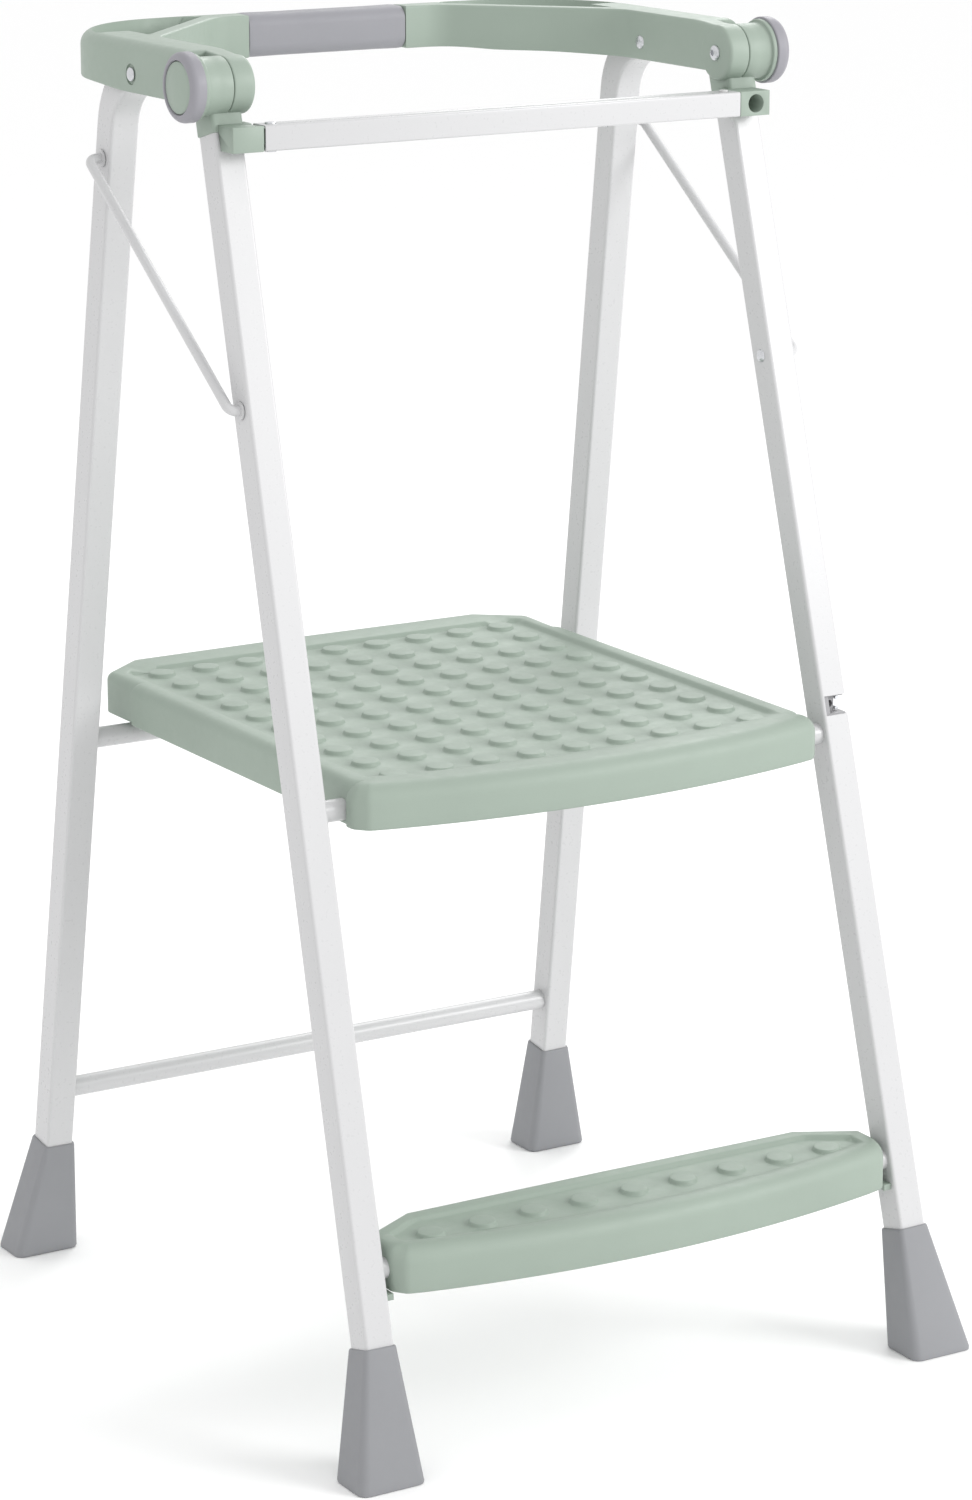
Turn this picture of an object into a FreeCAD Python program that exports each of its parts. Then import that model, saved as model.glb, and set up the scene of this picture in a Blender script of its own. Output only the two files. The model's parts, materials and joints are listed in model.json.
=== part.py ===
import FreeCAD, Part
import os, math
from FreeCAD import Vector as V

# Folding two-step stool with a hoop handrail and a swing-out front bar.
# Frame: +Z up, +X to the right, front of the stool towards -Y, millimetres,
# origin on the floor. The whole model is shifted at the end so that the
# origin is the middle of the footprint of the bounding box.

# ---------------------------------------------------------------- dimensions
# front legs: centre line x = +-(FX0 + FXS z), y = FY0 + FYS z
FX0, FXS, FY0, FYS = 218.5, -0.0165, -218.5, 0.2727
# rear legs
RX0, RXS, RY0, RYS = 218.95, -0.0168, 292.1, -0.1496
LEG_W, LEG_D, LEG_T, LEG_R = 21.3, 22.5, 1.5, 2.2      # rectangular tube
FRONT_LEG_TOP = 872.0
SOLE = 12.0                                            # rubber under a leg end
HUB_Y, HUB_Z, HUB_R = 16.5, 893.3, 19.3                # handrail hinge axis
HUB_SEAM_X = 203.4
RAIL_IN_X, RAIL_OUT_X = 187.5, 220.5
RAIL_Z0, RAIL_Z1 = 880.0, 914.5
RAIL_CORNER_X, RAIL_CORNER_Y, RAIL_CORNER_R = 125.5, 165.0, 95.0
GRIP_HALF, GRIP_Y0, GRIP_Y1, GRIP_Z0, GRIP_Z1 = 64.5, 233.5, 260.5, 884.0, 914.0
REAR_PIVOT_Y, REAR_PIVOT_Z = 112.6, 892.5              # handrail to rear leg rivet
REAR_TOP_Z = 891.0                                     # centre of the bent leg top
REAR_BEND_R = 44.0
TUBE_R, TUBE_T = 7.5, 1.2                              # round cross tubes
FT_Z = 427.0                                           # front platform tube
RT_Z = 404.5                                           # rear platform tube
CT_Z = 128.5                                           # rear lower cross tube
ST_Z = 134.0                                           # step carrying tube
BAR_X, BAR_Y0, BAR_Y1, BAR_Z0, BAR_Z1 = 188.0, -15.0, 3.0, 852.0, 869.0
BAR_PIN_X, BAR_PIN_Y = 179.3, -6.0
ROD_R = 3.5
ROD_A = (167.9, 830.0)                                 # rod to rear leg
ROD_B = (-31.4, 686.0)                                 # rod to front leg
DECK_Z, DECK_T = 447.0, 30.0                           # platform top, depth
STEP_Z, STEP_T = 151.0, 31.5
BUTTON_TRAVEL = 3.0

OUT = {}


def fx(z): return FX0 + FXS * z
def fy(z): return FY0 + FYS * z
def rx(z): return RX0 + RXS * z
def ry(z): return RY0 + RYS * z


def rrect(w, h, r, mat=None):
    """rounded rectangle wire centred on the local origin, in local XY"""
    a, b = w / 2.0, h / 2.0
    k = r * (1 - math.sqrt(0.5))
    e = [Part.makeLine(V(-a + r, -b, 0), V(a - r, -b, 0)),
         Part.Arc(V(a - r, -b, 0), V(a - k, -b + k, 0), V(a, -b + r, 0)).toShape(),
         Part.makeLine(V(a, -b + r, 0), V(a, b - r, 0)),
         Part.Arc(V(a, b - r, 0), V(a - k, b - k, 0), V(a - r, b, 0)).toShape(),
         Part.makeLine(V(a - r, b, 0), V(-a + r, b, 0)),
         Part.Arc(V(-a + r, b, 0), V(-a + k, b - k, 0), V(-a, b - r, 0)).toShape(),
         Part.makeLine(V(-a, b - r, 0), V(-a, -b + r, 0)),
         Part.Arc(V(-a, -b + r, 0), V(-a + k, -b + k, 0), V(-a + r, -b, 0)).toShape()]
    w_ = Part.Wire(e)
    if mat is not None:
        w_.Placement = FreeCAD.Placement(mat)
    return w_


def frame_at(origin, xdir, ydir):
    x = V(xdir).normalize()
    z = x.cross(V(ydir)).normalize()
    y = z.cross(x)
    return FreeCAD.Matrix(x.x, y.x, z.x, origin.x, x.y, y.y, z.y, origin.y,
                          x.z, y.z, z.z, origin.z, 0, 0, 0, 1)


def prism(wire, vec):
    return Part.Face(wire).extrude(vec)


def box(x0, x1, y0, y1, z0, z1):
    return Part.makeBox(x1 - x0, y1 - y0, z1 - z0, V(x0, y0, z0))


def cylx(x0, x1, y, z, r):
    return Part.makeCylinder(r, x1 - x0, V(x0, y, z), V(1, 0, 0))


def cylz(x, y, z0, z1, r):
    return Part.makeCylinder(r, z1 - z0, V(x, y, z0), V(0, 0, 1))


def ring_x(x0, x1, y, z, ro, ri):
    return cylx(x0, x1, y, z, ro).cut(cylx(x0 - 1, x1 + 1, y, z, ri))


def fuse(a, *more):
    s = a
    for m in more:
        s = s.fuse(m)
    return s.removeSplitter()


def one(s):
    sol = s.Solids
    return sol[0] if len(sol) == 1 else s


def mirror(s):
    return s.mirror(V(0, 0, 0), V(1, 0, 0))


def put(name, shape):
    OUT[name] = shape


def pair(name, shape_right):
    """the right-hand piece and its mirror image"""
    put(name + "_right", shape_right)
    put(name + "_left", mirror(shape_right))


def group(name, shapes):
    put(name, Part.makeCompound(shapes))


def revolve_x(profile, y, z):
    """profile: list of (x, r); revolved about the X line through y, z"""
    pts = [V(x, y, z + r) for x, r in profile]
    w = Part.makePolygon(pts + [pts[0]])
    return Part.Face(w).revolve(V(0, y, z), V(1, 0, 0), 360)


def extrude_z(pts, z0, z1):
    w = Part.makePolygon([V(x, y, z0) for x, y in pts] + [V(pts[0][0], pts[0][1], z0)])
    return Part.Face(w).extrude(V(0, 0, z1 - z0))


# ---------------------------------------------------------------- front legs
def leg_frame(x0, xs, y0, ys, z):
    d = V(xs, ys, 1.0).normalize()
    side = V(1, 0, 0)
    side = (side - d * side.dot(d)).normalize()
    nrm = d.cross(side).normalize()
    return V(x0 + xs * z, y0 + ys * z, z), side, nrm, d


def leg_prism(x0, xs, y0, ys, za, zb, w, dep, r):
    o, side, nrm, d = leg_frame(x0, xs, y0, ys, za)
    o2 = leg_frame(x0, xs, y0, ys, zb)[0]
    return prism(rrect(w, dep, r, frame_at(o, side, nrm)), o2 - o)


def front_prism(za, zb, w=LEG_W, dep=LEG_D, r=LEG_R):
    return leg_prism(FX0, FXS, FY0, FYS, za, zb, w, dep, r)


def rear_prism(za, zb, w=LEG_W, dep=LEG_D, r=LEG_R):
    return leg_prism(RX0, RXS, RY0, RYS, za, zb, w, dep, r)


inner_w, inner_d = LEG_W - 2 * LEG_T, LEG_D - 2 * LEG_T
fl_outer = front_prism(SOLE + 2, FRONT_LEG_TOP - 6)
fl_hollow = front_prism(SOLE, FRONT_LEG_TOP, inner_w, inner_d, LEG_R - 1.2)
front_leg = fl_outer.cut(fl_hollow)
# through holes for the tubes and rivets
front_leg = front_leg.cut(cylx(190, 211, fy(FT_Z), FT_Z, TUBE_R + 0.02))
front_leg = front_leg.cut(cylx(190, 216, fy(ST_Z), ST_Z, TUBE_R + 0.02))
front_leg = front_leg.cut(cylx(180, 240, ROD_B[0], ROD_B[1], 2.6))

# right leg only: catch window through the front and outer walls
NOTCH_Z0, NOTCH_Z1 = 441.0, 454.5
notch = box(fx(447) - LEG_W / 2 + 2.4, 240, fy(447) - 20, fy(447) + 7.5, NOTCH_Z0, NOTCH_Z1)
front_leg_right = front_leg.cut(notch)
put("front_leg_right", one(front_leg_right))
put("front_leg_left", one(mirror(front_leg)))

# catch insert behind the window, and its two small screws
ins = front_prism(428.0, 467.0, inner_w - 0.1, inner_d - 0.1, 0.8)
ins = ins.cut(box(fx(447) - 4.0, 240, fy(447) - 30, fy(447) - 4.6, NOTCH_Z0 + 1.0, NOTCH_Z1 - 1.0))
ins = ins.cut(box(fx(447) + 3.4, 240, fy(447) - 30, fy(447) + 6.0, NOTCH_Z0 + 1.0, NOTCH_Z1 - 1.0))
ins = ins.cut(cylx(190, 213, fy(FT_Z), FT_Z, TUBE_R + 0.5))
ins = ins.cut(Part.makeCylinder(2.6, 12, V(fx(447) - 0.3, fy(447) - 5.0, 447.4), V(0, 1, 0)))
put("leg_catch_insert", one(ins))
scr = []
for zz in (444.0, 451.4):
    h = Part.makeCylinder(1.5, 1.6, V(fx(447) + 5.2, fy(447) - 6.0, zz), V(0, 1, 0))
    s = Part.makeCylinder(0.9, 2.2, V(fx(447) + 5.2, fy(447) - 4.4, zz), V(0, 1, 0))
    scr.append(h.fuse(s))
scr_cut = scr[0].fuse(scr[1])

# ---------------------------------------------------------------- hub brackets
stem = front_prism(861.0, 889.0, LEG_W + 1.8, LEG_D + 1.8, 2.6)
stem_cavity = front_prism(850.0, FRONT_LEG_TOP - 6, LEG_W, LEG_D, LEG_R)
cylo = cylx(HUB_SEAM_X + 0.2, 223.0, HUB_Y, HUB_Z, HUB_R)
flange = revolve_x([(222.0, 0), (222.0, 20.6), (223.2, 21.8), (225.4, 21.8), (225.4, 0)], HUB_Y, HUB_Z)
rail_room = cylx(150, HUB_SEAM_X + 0.2, HUB_Y, HUB_Z, HUB_R + 0.5)
stem = stem.cut(box(180, HUB_SEAM_X + 0.2, HUB_Y - 2, 60, 877.6, 920))
bracket = stem.cut(stem_cavity).cut(rail_room)
bracket = fuse(bracket, cylo, flange)
bracket = bracket.cut(cylx(212.0, 230, HUB_Y, HUB_Z, 14.0))        # button room
bracket = bracket.cut(cylx(200, 230, HUB_Y, HUB_Z, 4.0))           # bolt bore
bracket = bracket.cut(stem_cavity.common(box(180, 230, -60, 60, 840, 872)))
pair("hub_bracket", one(bracket))

# lavender bezel around the push button, with a small rounded edge
bez = [(225.4, 16.6), (225.4, 22.6), (226.2, 23.2), (231.6, 23.2)]
for i in range(1, 7):
    a = math.radians(15 * i)
    bez.append((231.6 + 4.9 * math.sin(a), 18.3 + 4.9 * math.cos(a)))
bez += [(236.5, 17.2), (235.9, 16.6)]
pair("hub_bezel", one(revolve_x(bez, HUB_Y, HUB_Z)))

# pivot bolt: domed head inside the rail arm, shank through both hub halves
dome = [(RAIL_IN_X - 0.15, 0)]
dome = [(RAIL_IN_X, 0), (RAIL_IN_X, 5.4)]
for i in range(0, 7):
    a = math.radians(15 * i)
    dome.append((RAIL_IN_X - 0.6 - 2.2 * math.sin(a), 5.4 * math.cos(a)))
bolt = revolve_x(dome, HUB_Y, HUB_Z).fuse(cylx(RAIL_IN_X - 0.5, 214.5, HUB_Y, HUB_Z, 4.0))
bolt = bolt.translated(V(-0.15, 0, 0))
bolt = bolt.cut(Part.makeCylinder(1.9, 3, V(RAIL_IN_X - 4.2, HUB_Y, HUB_Z), V(1, 0, 0)))
pair("hub_pivot_bolt", one(bolt))
hexpts = [V(212.0, HUB_Y + 7.4 * math.cos(math.radians(60 * i)), HUB_Z + 7.4 * math.sin(math.radians(60 * i))) for i in range(7)]
nut = Part.Face(Part.makePolygon(hexpts)).extrude(V(3.6, 0, 0)).cut(cylx(211, 217, HUB_Y, HUB_Z, 4.0))
group("hub_pivot_nuts", [nut, mirror(nut)])
# three conical return springs stacked round the nut on each side
sp = []
for k in range(3):
    x0 = 212.2 + 1.75 * k
    fl = (k % 2 == 0)
    p = [(x0, 12.6), (x0 + 0.7, 12.6), (x0 + 1.6, 9.0), (x0 + 0.9, 9.0)] if fl else \
        [(x0 + 0.9, 12.6), (x0 + 1.6, 12.6), (x0 + 0.7, 9.0), (x0, 9.0)]
    s_ = revolve_x(p, HUB_Y, HUB_Z)
    sp += [s_, mirror(s_)]
group("hub_return_springs", sp)
# push button: disc, plunger and toothed lock wheel
disc = [(229.0, 0), (229.0, 16.3), (235.4, 16.3), (236.2, 15.5), (236.7, 12.0), (237.0, 6.0), (237.1, 0)]
button = revolve_x(disc, HUB_Y, HUB_Z).fuse(cylx(225.4, 229.2, HUB_Y, HUB_Z, 6.0))
pair("hub_button", one(button.removeSplitter()))
teeth = []
NT = 12
for i in range(NT):
    for (rr_, da) in ((10.4, -11), (12.6, -5), (12.6, 5), (10.4, 11)):
        a = math.radians(360.0 / NT * i + da)
        teeth.append(V(221.0, HUB_Y + rr_ * math.cos(a), HUB_Z + rr_ * math.sin(a)))
gear = Part.Face(Part.makePolygon(teeth + [teeth[0]])).extrude(V(4.4, 0, 0))
pair("hub_lock_wheel", one(gear))

# ---------------------------------------------------------------- cross tubes
def round_tube(xh, y, z, r=TUBE_R, t=TUBE_T):
    return cylx(-xh, xh, y, z, r).cut(cylx(-xh - 1, xh + 1, y, z, r - t))


put("front_platform_tube", round_tube(fx(FT_Z) - 1.5, fy(FT_Z), FT_Z))
put("step_tube", round_tube(fx(ST_Z) - 1.5, fy(ST_Z), ST_Z))
put("rear_platform_tube", round_tube(rx(RT_Z) - 1.5, ry(RT_Z), RT_Z))
put("rear_lower_tube", round_tube(rx(CT_Z) - 1.5, ry(CT_Z), CT_Z))

# ---------------------------------------------------------------- rear legs
rs_o, rs_side, rs_n, rs_d = leg_frame(RX0, RXS, RY0, RYS, 100.0)
fwd = V(0, -1, 0)
axis_n = rs_d.cross(fwd).normalize()              # bend plane normal
turn = math.acos(rs_d.dot(fwd))
tl = REAR_BEND_R * math.tan(turn / 2.0)
# virtual corner: leg line at REAR_TOP_Z
cz = REAR_TOP_Z
corner = V(rx(cz), ry(cz), cz)
p1 = corner - rs_d * tl
inward = (fwd - rs_d * fwd.dot(rs_d)).normalize()
cen = p1 + inward * REAR_BEND_R
p2 = corner + fwd * tl
TOP_END_Y = REAR_PIVOT_Y - 9.0


def bent(w, dep, r, z0, yend):
    o, side, nrm, d = leg_frame(RX0, RXS, RY0, RYS, z0)
    sd = -axis_n if axis_n.x < 0 else axis_n
    base = rrect(w, dep, r, frame_at(o, sd, rs_d.cross(sd)))
    a = Part.Face(base).extrude(p1 - o)
    f1 = rrect(w, dep, r, frame_at(p1, sd, rs_d.cross(sd)))
    b = Part.Face(f1).revolve(cen, axis_n, math.degrees(turn))
    f2 = rrect(w, dep, r, frame_at(p2, sd, fwd.cross(sd)))
    c = Part.Face(f2).extrude(V(0, yend - p2.y, 0))
    return a, b, c


oa, ob, oc = bent(LEG_W, LEG_D, LEG_R, SOLE + 2, TOP_END_Y)
ia, ib, ic = bent(inner_w, inner_d, LEG_R - 1.2, SOLE, TOP_END_Y - 2)
rear_leg = oa.fuse(ob).fuse(oc).cut(ia).cut(ib).cut(ic)
for (yy, zz) in ((ry(RT_Z), RT_Z), (ry(CT_Z), CT_Z)):
    x_in = rx(zz)
    rear_leg = rear_leg.cut(cylx(x_in - 18, x_in, yy, zz, TUBE_R + 0.02))
rear_leg = rear_leg.cut(cylx(180, 240, ROD_A[0], ROD_A[1], 2.6))
rear_leg = rear_leg.cut(cylx(180, 240, REAR_PIVOT_Y, REAR_PIVOT_Z, 3.06))
pair("rear_leg", one(rear_leg))

# ---------------------------------------------------------------- rubber feet
def foot(x0, xs, y0, ys, ztop, bx0, bx1, by0, by1, legsolid):
    o, side, nrm, d = leg_frame(x0, xs, y0, ys, ztop)
    top = rrect(LEG_W + 3.1, LEG_D + 3.1, 4.0, frame_at(o, side, nrm))
    mid_z = 20.0
    t = (ztop - mid_z) / ztop
    bot = rrect(bx1 - bx0, by1 - by0, 7.5)
    bot.translate(V((bx0 + bx1) / 2, (by0 + by1) / 2, 0))
    b = Part.makeLoft([bot, top], True, True)
    return b.cut(legsolid)


leg_slug_f = front_prism(SOLE + 2, 120)
leg_slug_r = rear_prism(SOLE + 2, 120)
ff = foot(FX0, FXS, FY0, FYS, 86.0, 199.0, 250.0, -237.0, -199.0, leg_slug_f)
rf = foot(RX0, RXS, RY0, RYS, 88.0, 199.8, 251.2, 275.0, 312.0, oa)
pair("front_foot", one(ff))
pair("rear_foot", one(rf))

# ---------------------------------------------------------------- hoop handrail
def outer_plan():
    """right half of the rail outline as edges from the hub to x = GRIP_HALF"""
    cx, cy, r = RAIL_CORNER_X, RAIL_CORNER_Y, RAIL_CORNER_R
    s = r * math.sqrt(0.5)
    return [Part.makeLine(V(RAIL_OUT_X, HUB_Y, 0), V(RAIL_OUT_X, cy, 0)),
            Part.Arc(V(RAIL_OUT_X, cy, 0), V(cx + s, cy + s, 0), V(cx, cy + r, 0)).toShape(),
            Part.makeLine(V(cx, cy + r, 0), V(GRIP_HALF, cy + r, 0))]


XI, YI = RAIL_IN_X, 134.0
X2, Y2 = 92.0, GRIP_Y0
plan = outer_plan() + [
    Part.makeLine(V(GRIP_HALF, RAIL_CORNER_Y + RAIL_CORNER_R, 0), V(GRIP_HALF, Y2, 0)),
    Part.makeLine(V(GRIP_HALF, Y2, 0), V(X2, Y2, 0)),
    Part.makeLine(V(X2, Y2, 0), V(XI, YI, 0)),
    Part.makeLine(V(XI, YI, 0), V(XI, HUB_Y, 0)),
    Part.makeLine(V(XI, HUB_Y, 0), V(RAIL_OUT_X, HUB_Y, 0))]
pw = Part.Wire(plan)
shell = Part.Face(pw).extrude(V(0, 0, RAIL_Z1 - RAIL_Z0)).translated(V(0, 0, RAIL_Z0))
try:
    ed = []
    for e in shell.Edges:
        bb = e.BoundBox
        mid = e.valueAt((e.FirstParameter + e.LastParameter) / 2)
        if bb.ZLength < 0.01 and mid.z > RAIL_Z1 - 0.1:
            dx_, dy_ = mid.x - RAIL_CORNER_X, mid.y - RAIL_CORNER_Y
            if mid.x > RAIL_OUT_X - 0.1 or (mid.y > 180 and math.hypot(dx_, dy_) > 90):
                ed.append(e)
    shell = shell.makeFillet(8.0, ed)
except Exception:
    pass
# the rear run is a little shallower than the arms: lift the underside
lift = box(0, 240, 138, 300, RAIL_Z0 - 1, 882.5).fuse(box(0, 128, 138, 300, RAIL_Z0 - 1, GRIP_Z0))
shell = shell.cut(lift)
# hub end: round, only the half next to the seam's inner side
boss = cylx(RAIL_IN_X, HUB_SEAM_X - 0.2, HUB_Y, HUB_Z, HUB_R)
shell = shell.cut(box(HUB_SEAM_X - 0.2, 240, HUB_Y - 30, HUB_Y + HUB_R + 0.8, 850, 930))
shell = shell.cut(box(180, 240, HUB_Y - 1, HUB_Y + 4, 850, 930))
neck = box(RAIL_IN_X, HUB_SEAM_X - 0.2, HUB_Y, HUB_Y + 30, RAIL_Z0, HUB_Z + HUB_R)
shell = fuse(shell, boss, neck)
shell = shell.cut(cylx(HUB_SEAM_X - 0.2, 240, HUB_Y, HUB_Z, 22.6))
# channel for the bent top of the rear leg, open below
CH_X0, CH_X1 = 190.6, 217.4
chan = box(CH_X0, CH_X1, 96.0, 176.0, 860, 911.0)
shell = shell.cut(chan)
# hollow behind the diagonal wall, open below, and the dished pocket on top
def poly(pts, z0, z1):
    return extrude_z(pts, z0, z1)


cell = poly([(174, 151.5), (187.6, 137.5), (187.6, 196), (160, 226), (124, 246), (98, 246), (98, 239)], 870, 897.0)
shell = shell.cut(cell)
ang = math.atan2(YI - Y2, XI - X2)
nx, ny = -math.sin(ang), math.cos(ang)
off = 11.0
q1 = V(XI + nx * off + 30 * math.cos(ang), YI + ny * off + 30 * math.sin(ang), 0)
q2 = V(X2 + nx * off - 30 * math.cos(ang), Y2 + ny * off - 30 * math.sin(ang), 0)
halfp = extrude_z([(q1.x, q1.y), (q1.x + nx * 120, q1.y + ny * 120), (q2.x + nx * 120, q2.y + ny * 120), (q2.x, q2.y)], 900.5, 930)
disc_ = cylz(RAIL_CORNER_X, RAIL_CORNER_Y, 900.5, 930, RAIL_CORNER_R - 9.0)
pocket = halfp.common(disc_)
pocket = pocket.cut(box(CH_X0 - 3, 240, 90, 179, 890, 930))
shell = shell.cut(pocket)
# socket for the core bar and the bores
shell = shell.cut(box(GRIP_HALF - 1, 92.0, 240.0, 254.0, 891.0, 907.0))
shell = shell.cut(cylx(180, 215, HUB_Y, HUB_Z, 4.06))
shell = shell.cut(cylx(180, 240, REAR_PIVOT_Y, REAR_PIVOT_Z, 3.0))
pair("rail_shell", one(shell))

core = box(-91.8, 91.8, 240.0, 254.0, 891.0, 907.0).cut(box(-93, 93, 242.0, 252.0, 893.0, 905.0))
put("rail_core_bar", core)
grip = prism(rrect(GRIP_Y1 - GRIP_Y0, GRIP_Z1 - GRIP_Z0, 9.0,
                   frame_at(V(-GRIP_HALF + 0.25, (GRIP_Y0 + GRIP_Y1) / 2, (GRIP_Z0 + GRIP_Z1) / 2), V(0, 1, 0), V(0, 0, 1))),
             V(2 * GRIP_HALF - 0.5, 0, 0))
grip = grip.cut(box(-93, 93, 240.0, 254.0, 891.0, 907.0))
put("rail_grip", one(grip))

# pivot rivets: domed head on both faces of the arm
def rivet(xa, xb, y, z, r, rh, hh):
    a = [(xa, 0), (xa, r), (xb, r), (xb, rh)]
    pts = [(xa - hh, 0)]
    for i in range(0, 6):
        t = math.radians(90 - 18 * i)
        pts.append((xa - hh * math.sin(t), rh * math.cos(t)))
    pts.append((xa, rh))
    pts += [(xa, r), (xb, r), (xb, rh)]
    for i in range(0, 6):
        t = math.radians(18 * i)
        pts.append((xb + hh * math.sin(t), rh * math.cos(t)))
    clean = []
    for p in pts:
        if not clean or abs(p[0] - clean[-1][0]) + abs(p[1] - clean[-1][1]) > 1e-6:
            clean.append(p)
    if clean[-1][1] > 1e-6:
        clean.append((xb + hh, 0))
    return revolve_x(clean, y, z)


rv = rivet(RAIL_IN_X, RAIL_OUT_X, REAR_PIVOT_Y, REAR_PIVOT_Z, 3.0, 4.8, 2.0)
group("rail_pivot_rivets", [rv, mirror(rv)])

# ---------------------------------------------------------------- brace rods
def rod_path(side_x, bend_out):
    (ay, az), (by, bz) = ROD_A, ROD_B
    xa = rx(az) + LEG_W / 2 + 0.45 + 0.9
    xb = fx(bz) + LEG_W / 2 + 0.45 + 0.9
    return xa, xb


xa, xb = rod_path(1, 0)
X_RUN = xa + 9.0
aP, bP = V(X_RUN, ROD_A[0], ROD_A[1]), V(X_RUN, ROD_B[0], ROD_B[1])
u = (aP - bP).normalize()
# the hooks stand a little beyond the run: bend radius about 6 mm
BR = 6.0


def hook(px, P, dirv):
    """leg-side stub along X, quarter bend, start of the run"""
    stub = cylx(px, X_RUN - BR, P.y, P.z, ROD_R)
    c = Part.Circle(V(X_RUN - BR, P.y, P.z), V(1, 0, 0), ROD_R)
    f = Part.Face(Part.Wire(c.toShape()))
    centre = V(X_RUN - BR, P.y, P.z) + dirv * BR
    ax = V(1, 0, 0).cross(dirv)
    b = f.revolve(centre, ax, 90)
    return stub.fuse(b)


rodA = hook(xa - 0.3, aP, u * -1)
rodB = hook(xb - 0.3, bP, u)
s0 = bP + u * BR
s1 = aP - u * BR
run = Part.makeCylinder(ROD_R, (s1 - s0).Length, s0, u)
rod = rodA.fuse(run).fuse(rodB).removeSplitter()
pair("brace_rod", one(rod))
# flat washers at both ends of each rod
def washer(x0, y, z):
    return ring_x(x0, x0 + 1.0, y, z, 6.2, ROD_R)


rod2 = rod.cut(washer(xa - 0.9, *ROD_A)).cut(washer(xb - 0.9, *ROD_B))
wa = ring_x(xa - 0.9, xa + 0.1, ROD_A[0], ROD_A[1], 6.2, ROD_R)
wb = ring_x(xb - 0.9, xb + 0.1, ROD_B[0], ROD_B[1], 6.2, ROD_R)
group("rod_washers_right", [wa, wb])
group("rod_washers_left", [mirror(wa), mirror(wb)])
# rivet heads on the inner faces of the legs, where the rods' ends are headed
def rivet_in(xi, xo, y, z):
    xi -= 0.1
    pts = [(xi - 1.8, 0), (xi - 1.6, 2.4), (xi - 1.0, 3.9), (xi, 4.6), (xi, 2.6), (xo, 2.6), (xo, 0)]
    return revolve_x(pts, y, z)


rb = rivet_in(fx(ROD_B[1]) - LEG_W / 2, fx(ROD_B[1]) + LEG_W / 2 - 0.2, *ROD_B)
ra = rivet_in(rx(ROD_A[1]) - LEG_W / 2, rx(ROD_A[1]) + LEG_W / 2 - 0.2, *ROD_A)
group("front_rod_rivets", [rb, mirror(rb)])
group("rear_rod_rivets", [ra, mirror(ra)])

# ---------------------------------------------------------------- platform
def bowed_plan(hw, yr, chx, chy, yf_end, bow, corner):
    """plan outline: chamfered rear corners, bowed front edge with round ends"""
    e = []
    A = V(-hw, yf_end + corner, 0)
    B = V(-hw + corner * 0.9, yf_end + 0.0, 0)
    m = V(-hw + corner * 0.28, yf_end + corner * 0.28, 0)
    e.append(Part.Arc(A, m, B).toShape())
    C_ = V(hw - corner * 0.9, yf_end, 0)
    e.append(Part.Arc(B, V(0, yf_end - bow, 0), C_).toShape())
    D = V(hw, yf_end + corner, 0)
    e.append(Part.Arc(C_, V(hw - corner * 0.28, yf_end + corner * 0.28, 0), D).toShape())
    pts = [D, V(hw, yr - chy, 0), V(hw - chx, yr, 0), V(-hw + chx, yr, 0), V(-hw, yr - chy, 0), A]
    for p, q_ in zip(pts[:-1], pts[1:]):
        e.append(Part.makeLine(p, q_))
    return Part.Wire(e)


def plate(wire, z0, z1):
    f = Part.Face(wire)
    s = f.extrude(V(0, 0, z1 - z0))
    s.translate(V(0, 0, z0))
    return s


def top_fillet(s, ztop, r):
    ed = [e for e in s.Edges if e.BoundBox.ZLength < 0.01 and abs(e.BoundBox.ZMax - ztop) < 0.01]
    try:
        return s.makeFillet(r, ed)
    except Exception:
        return s


def bevelled_plate(args, z0, z1, drop, inset):
    """bowed plate whose top edge is bevelled all round"""
    hw, yr, chx, chy, yf, bow, corner = args
    low = bowed_plan(*args)
    top = bowed_plan(hw - inset, yr - inset, chx - inset * 0.4, chy - inset * 0.3, yf + inset, bow * 0.995, corner * 0.9)
    a = plate(low, z0, z1 - drop)
    w0, w1 = low.copy(), top.copy()
    w0.translate(V(0, 0, z1 - drop))
    w1.translate(V(0, 0, z1))
    b = Part.makeLoft([w0, w1], True, True)
    return a.fuse(b).removeSplitter()


DHW, DYR = 186.5, 280.0
deck = bevelled_plate((DHW, DYR, 42.0, 29.0, -131.0, 20.0, 18.0), DECK_Z - DECK_T, DECK_Z, 3.5, 3.5)
# hollow underside
in_ = plate(bowed_plan(DHW - 3.2, DYR - 3.2, 41.0, 28.2, -127.6, 19.6, 15.0), DECK_Z - DECK_T - 1, DECK_Z - 7.0)
deck = deck.cut(in_)
# recessed tread with slightly raised rims
rec = box(-166.0, 166.0, -104.0, 246.0, DECK_Z - 3.4, DECK_Z + 5)
rec = rec.cut(extrude_z([(134, 247), (167, 247), (167, 226)], DECK_Z - 4, DECK_Z + 6))
rec = rec.cut(extrude_z([(-134, 247), (-167, 247), (-167, 226)], DECK_Z - 4, DECK_Z + 6))
deck = deck.cut(rec)
studs = []
for i in range(9):
    for j in range(10):
        sx, sy = -144.0 + 36.0 * i, 232.0 - 37.0 * j
        if sy < -95:
            continue
        studs.append(Part.makeCone(10.4, 9.0, 3.2, V(sx, sy, DECK_Z - 3.6), V(0, 0, 1)))
deck = deck.fuse(studs)
# ribs below
ribs = []
for x_ in (-120, -60, 0, 60, 120):
    ribs.append(box(x_ - 1.3, x_ + 1.3, -80, 215, DECK_Z - 12, DECK_Z - 6.9))
for y_ in (-10, 60, 130, 200):
    ribs.append(box(-183.5, 183.5, y_ - 1.3, y_ + 1.3, DECK_Z - 12, DECK_Z - 6.9))
deck = deck.fuse(ribs)
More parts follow.
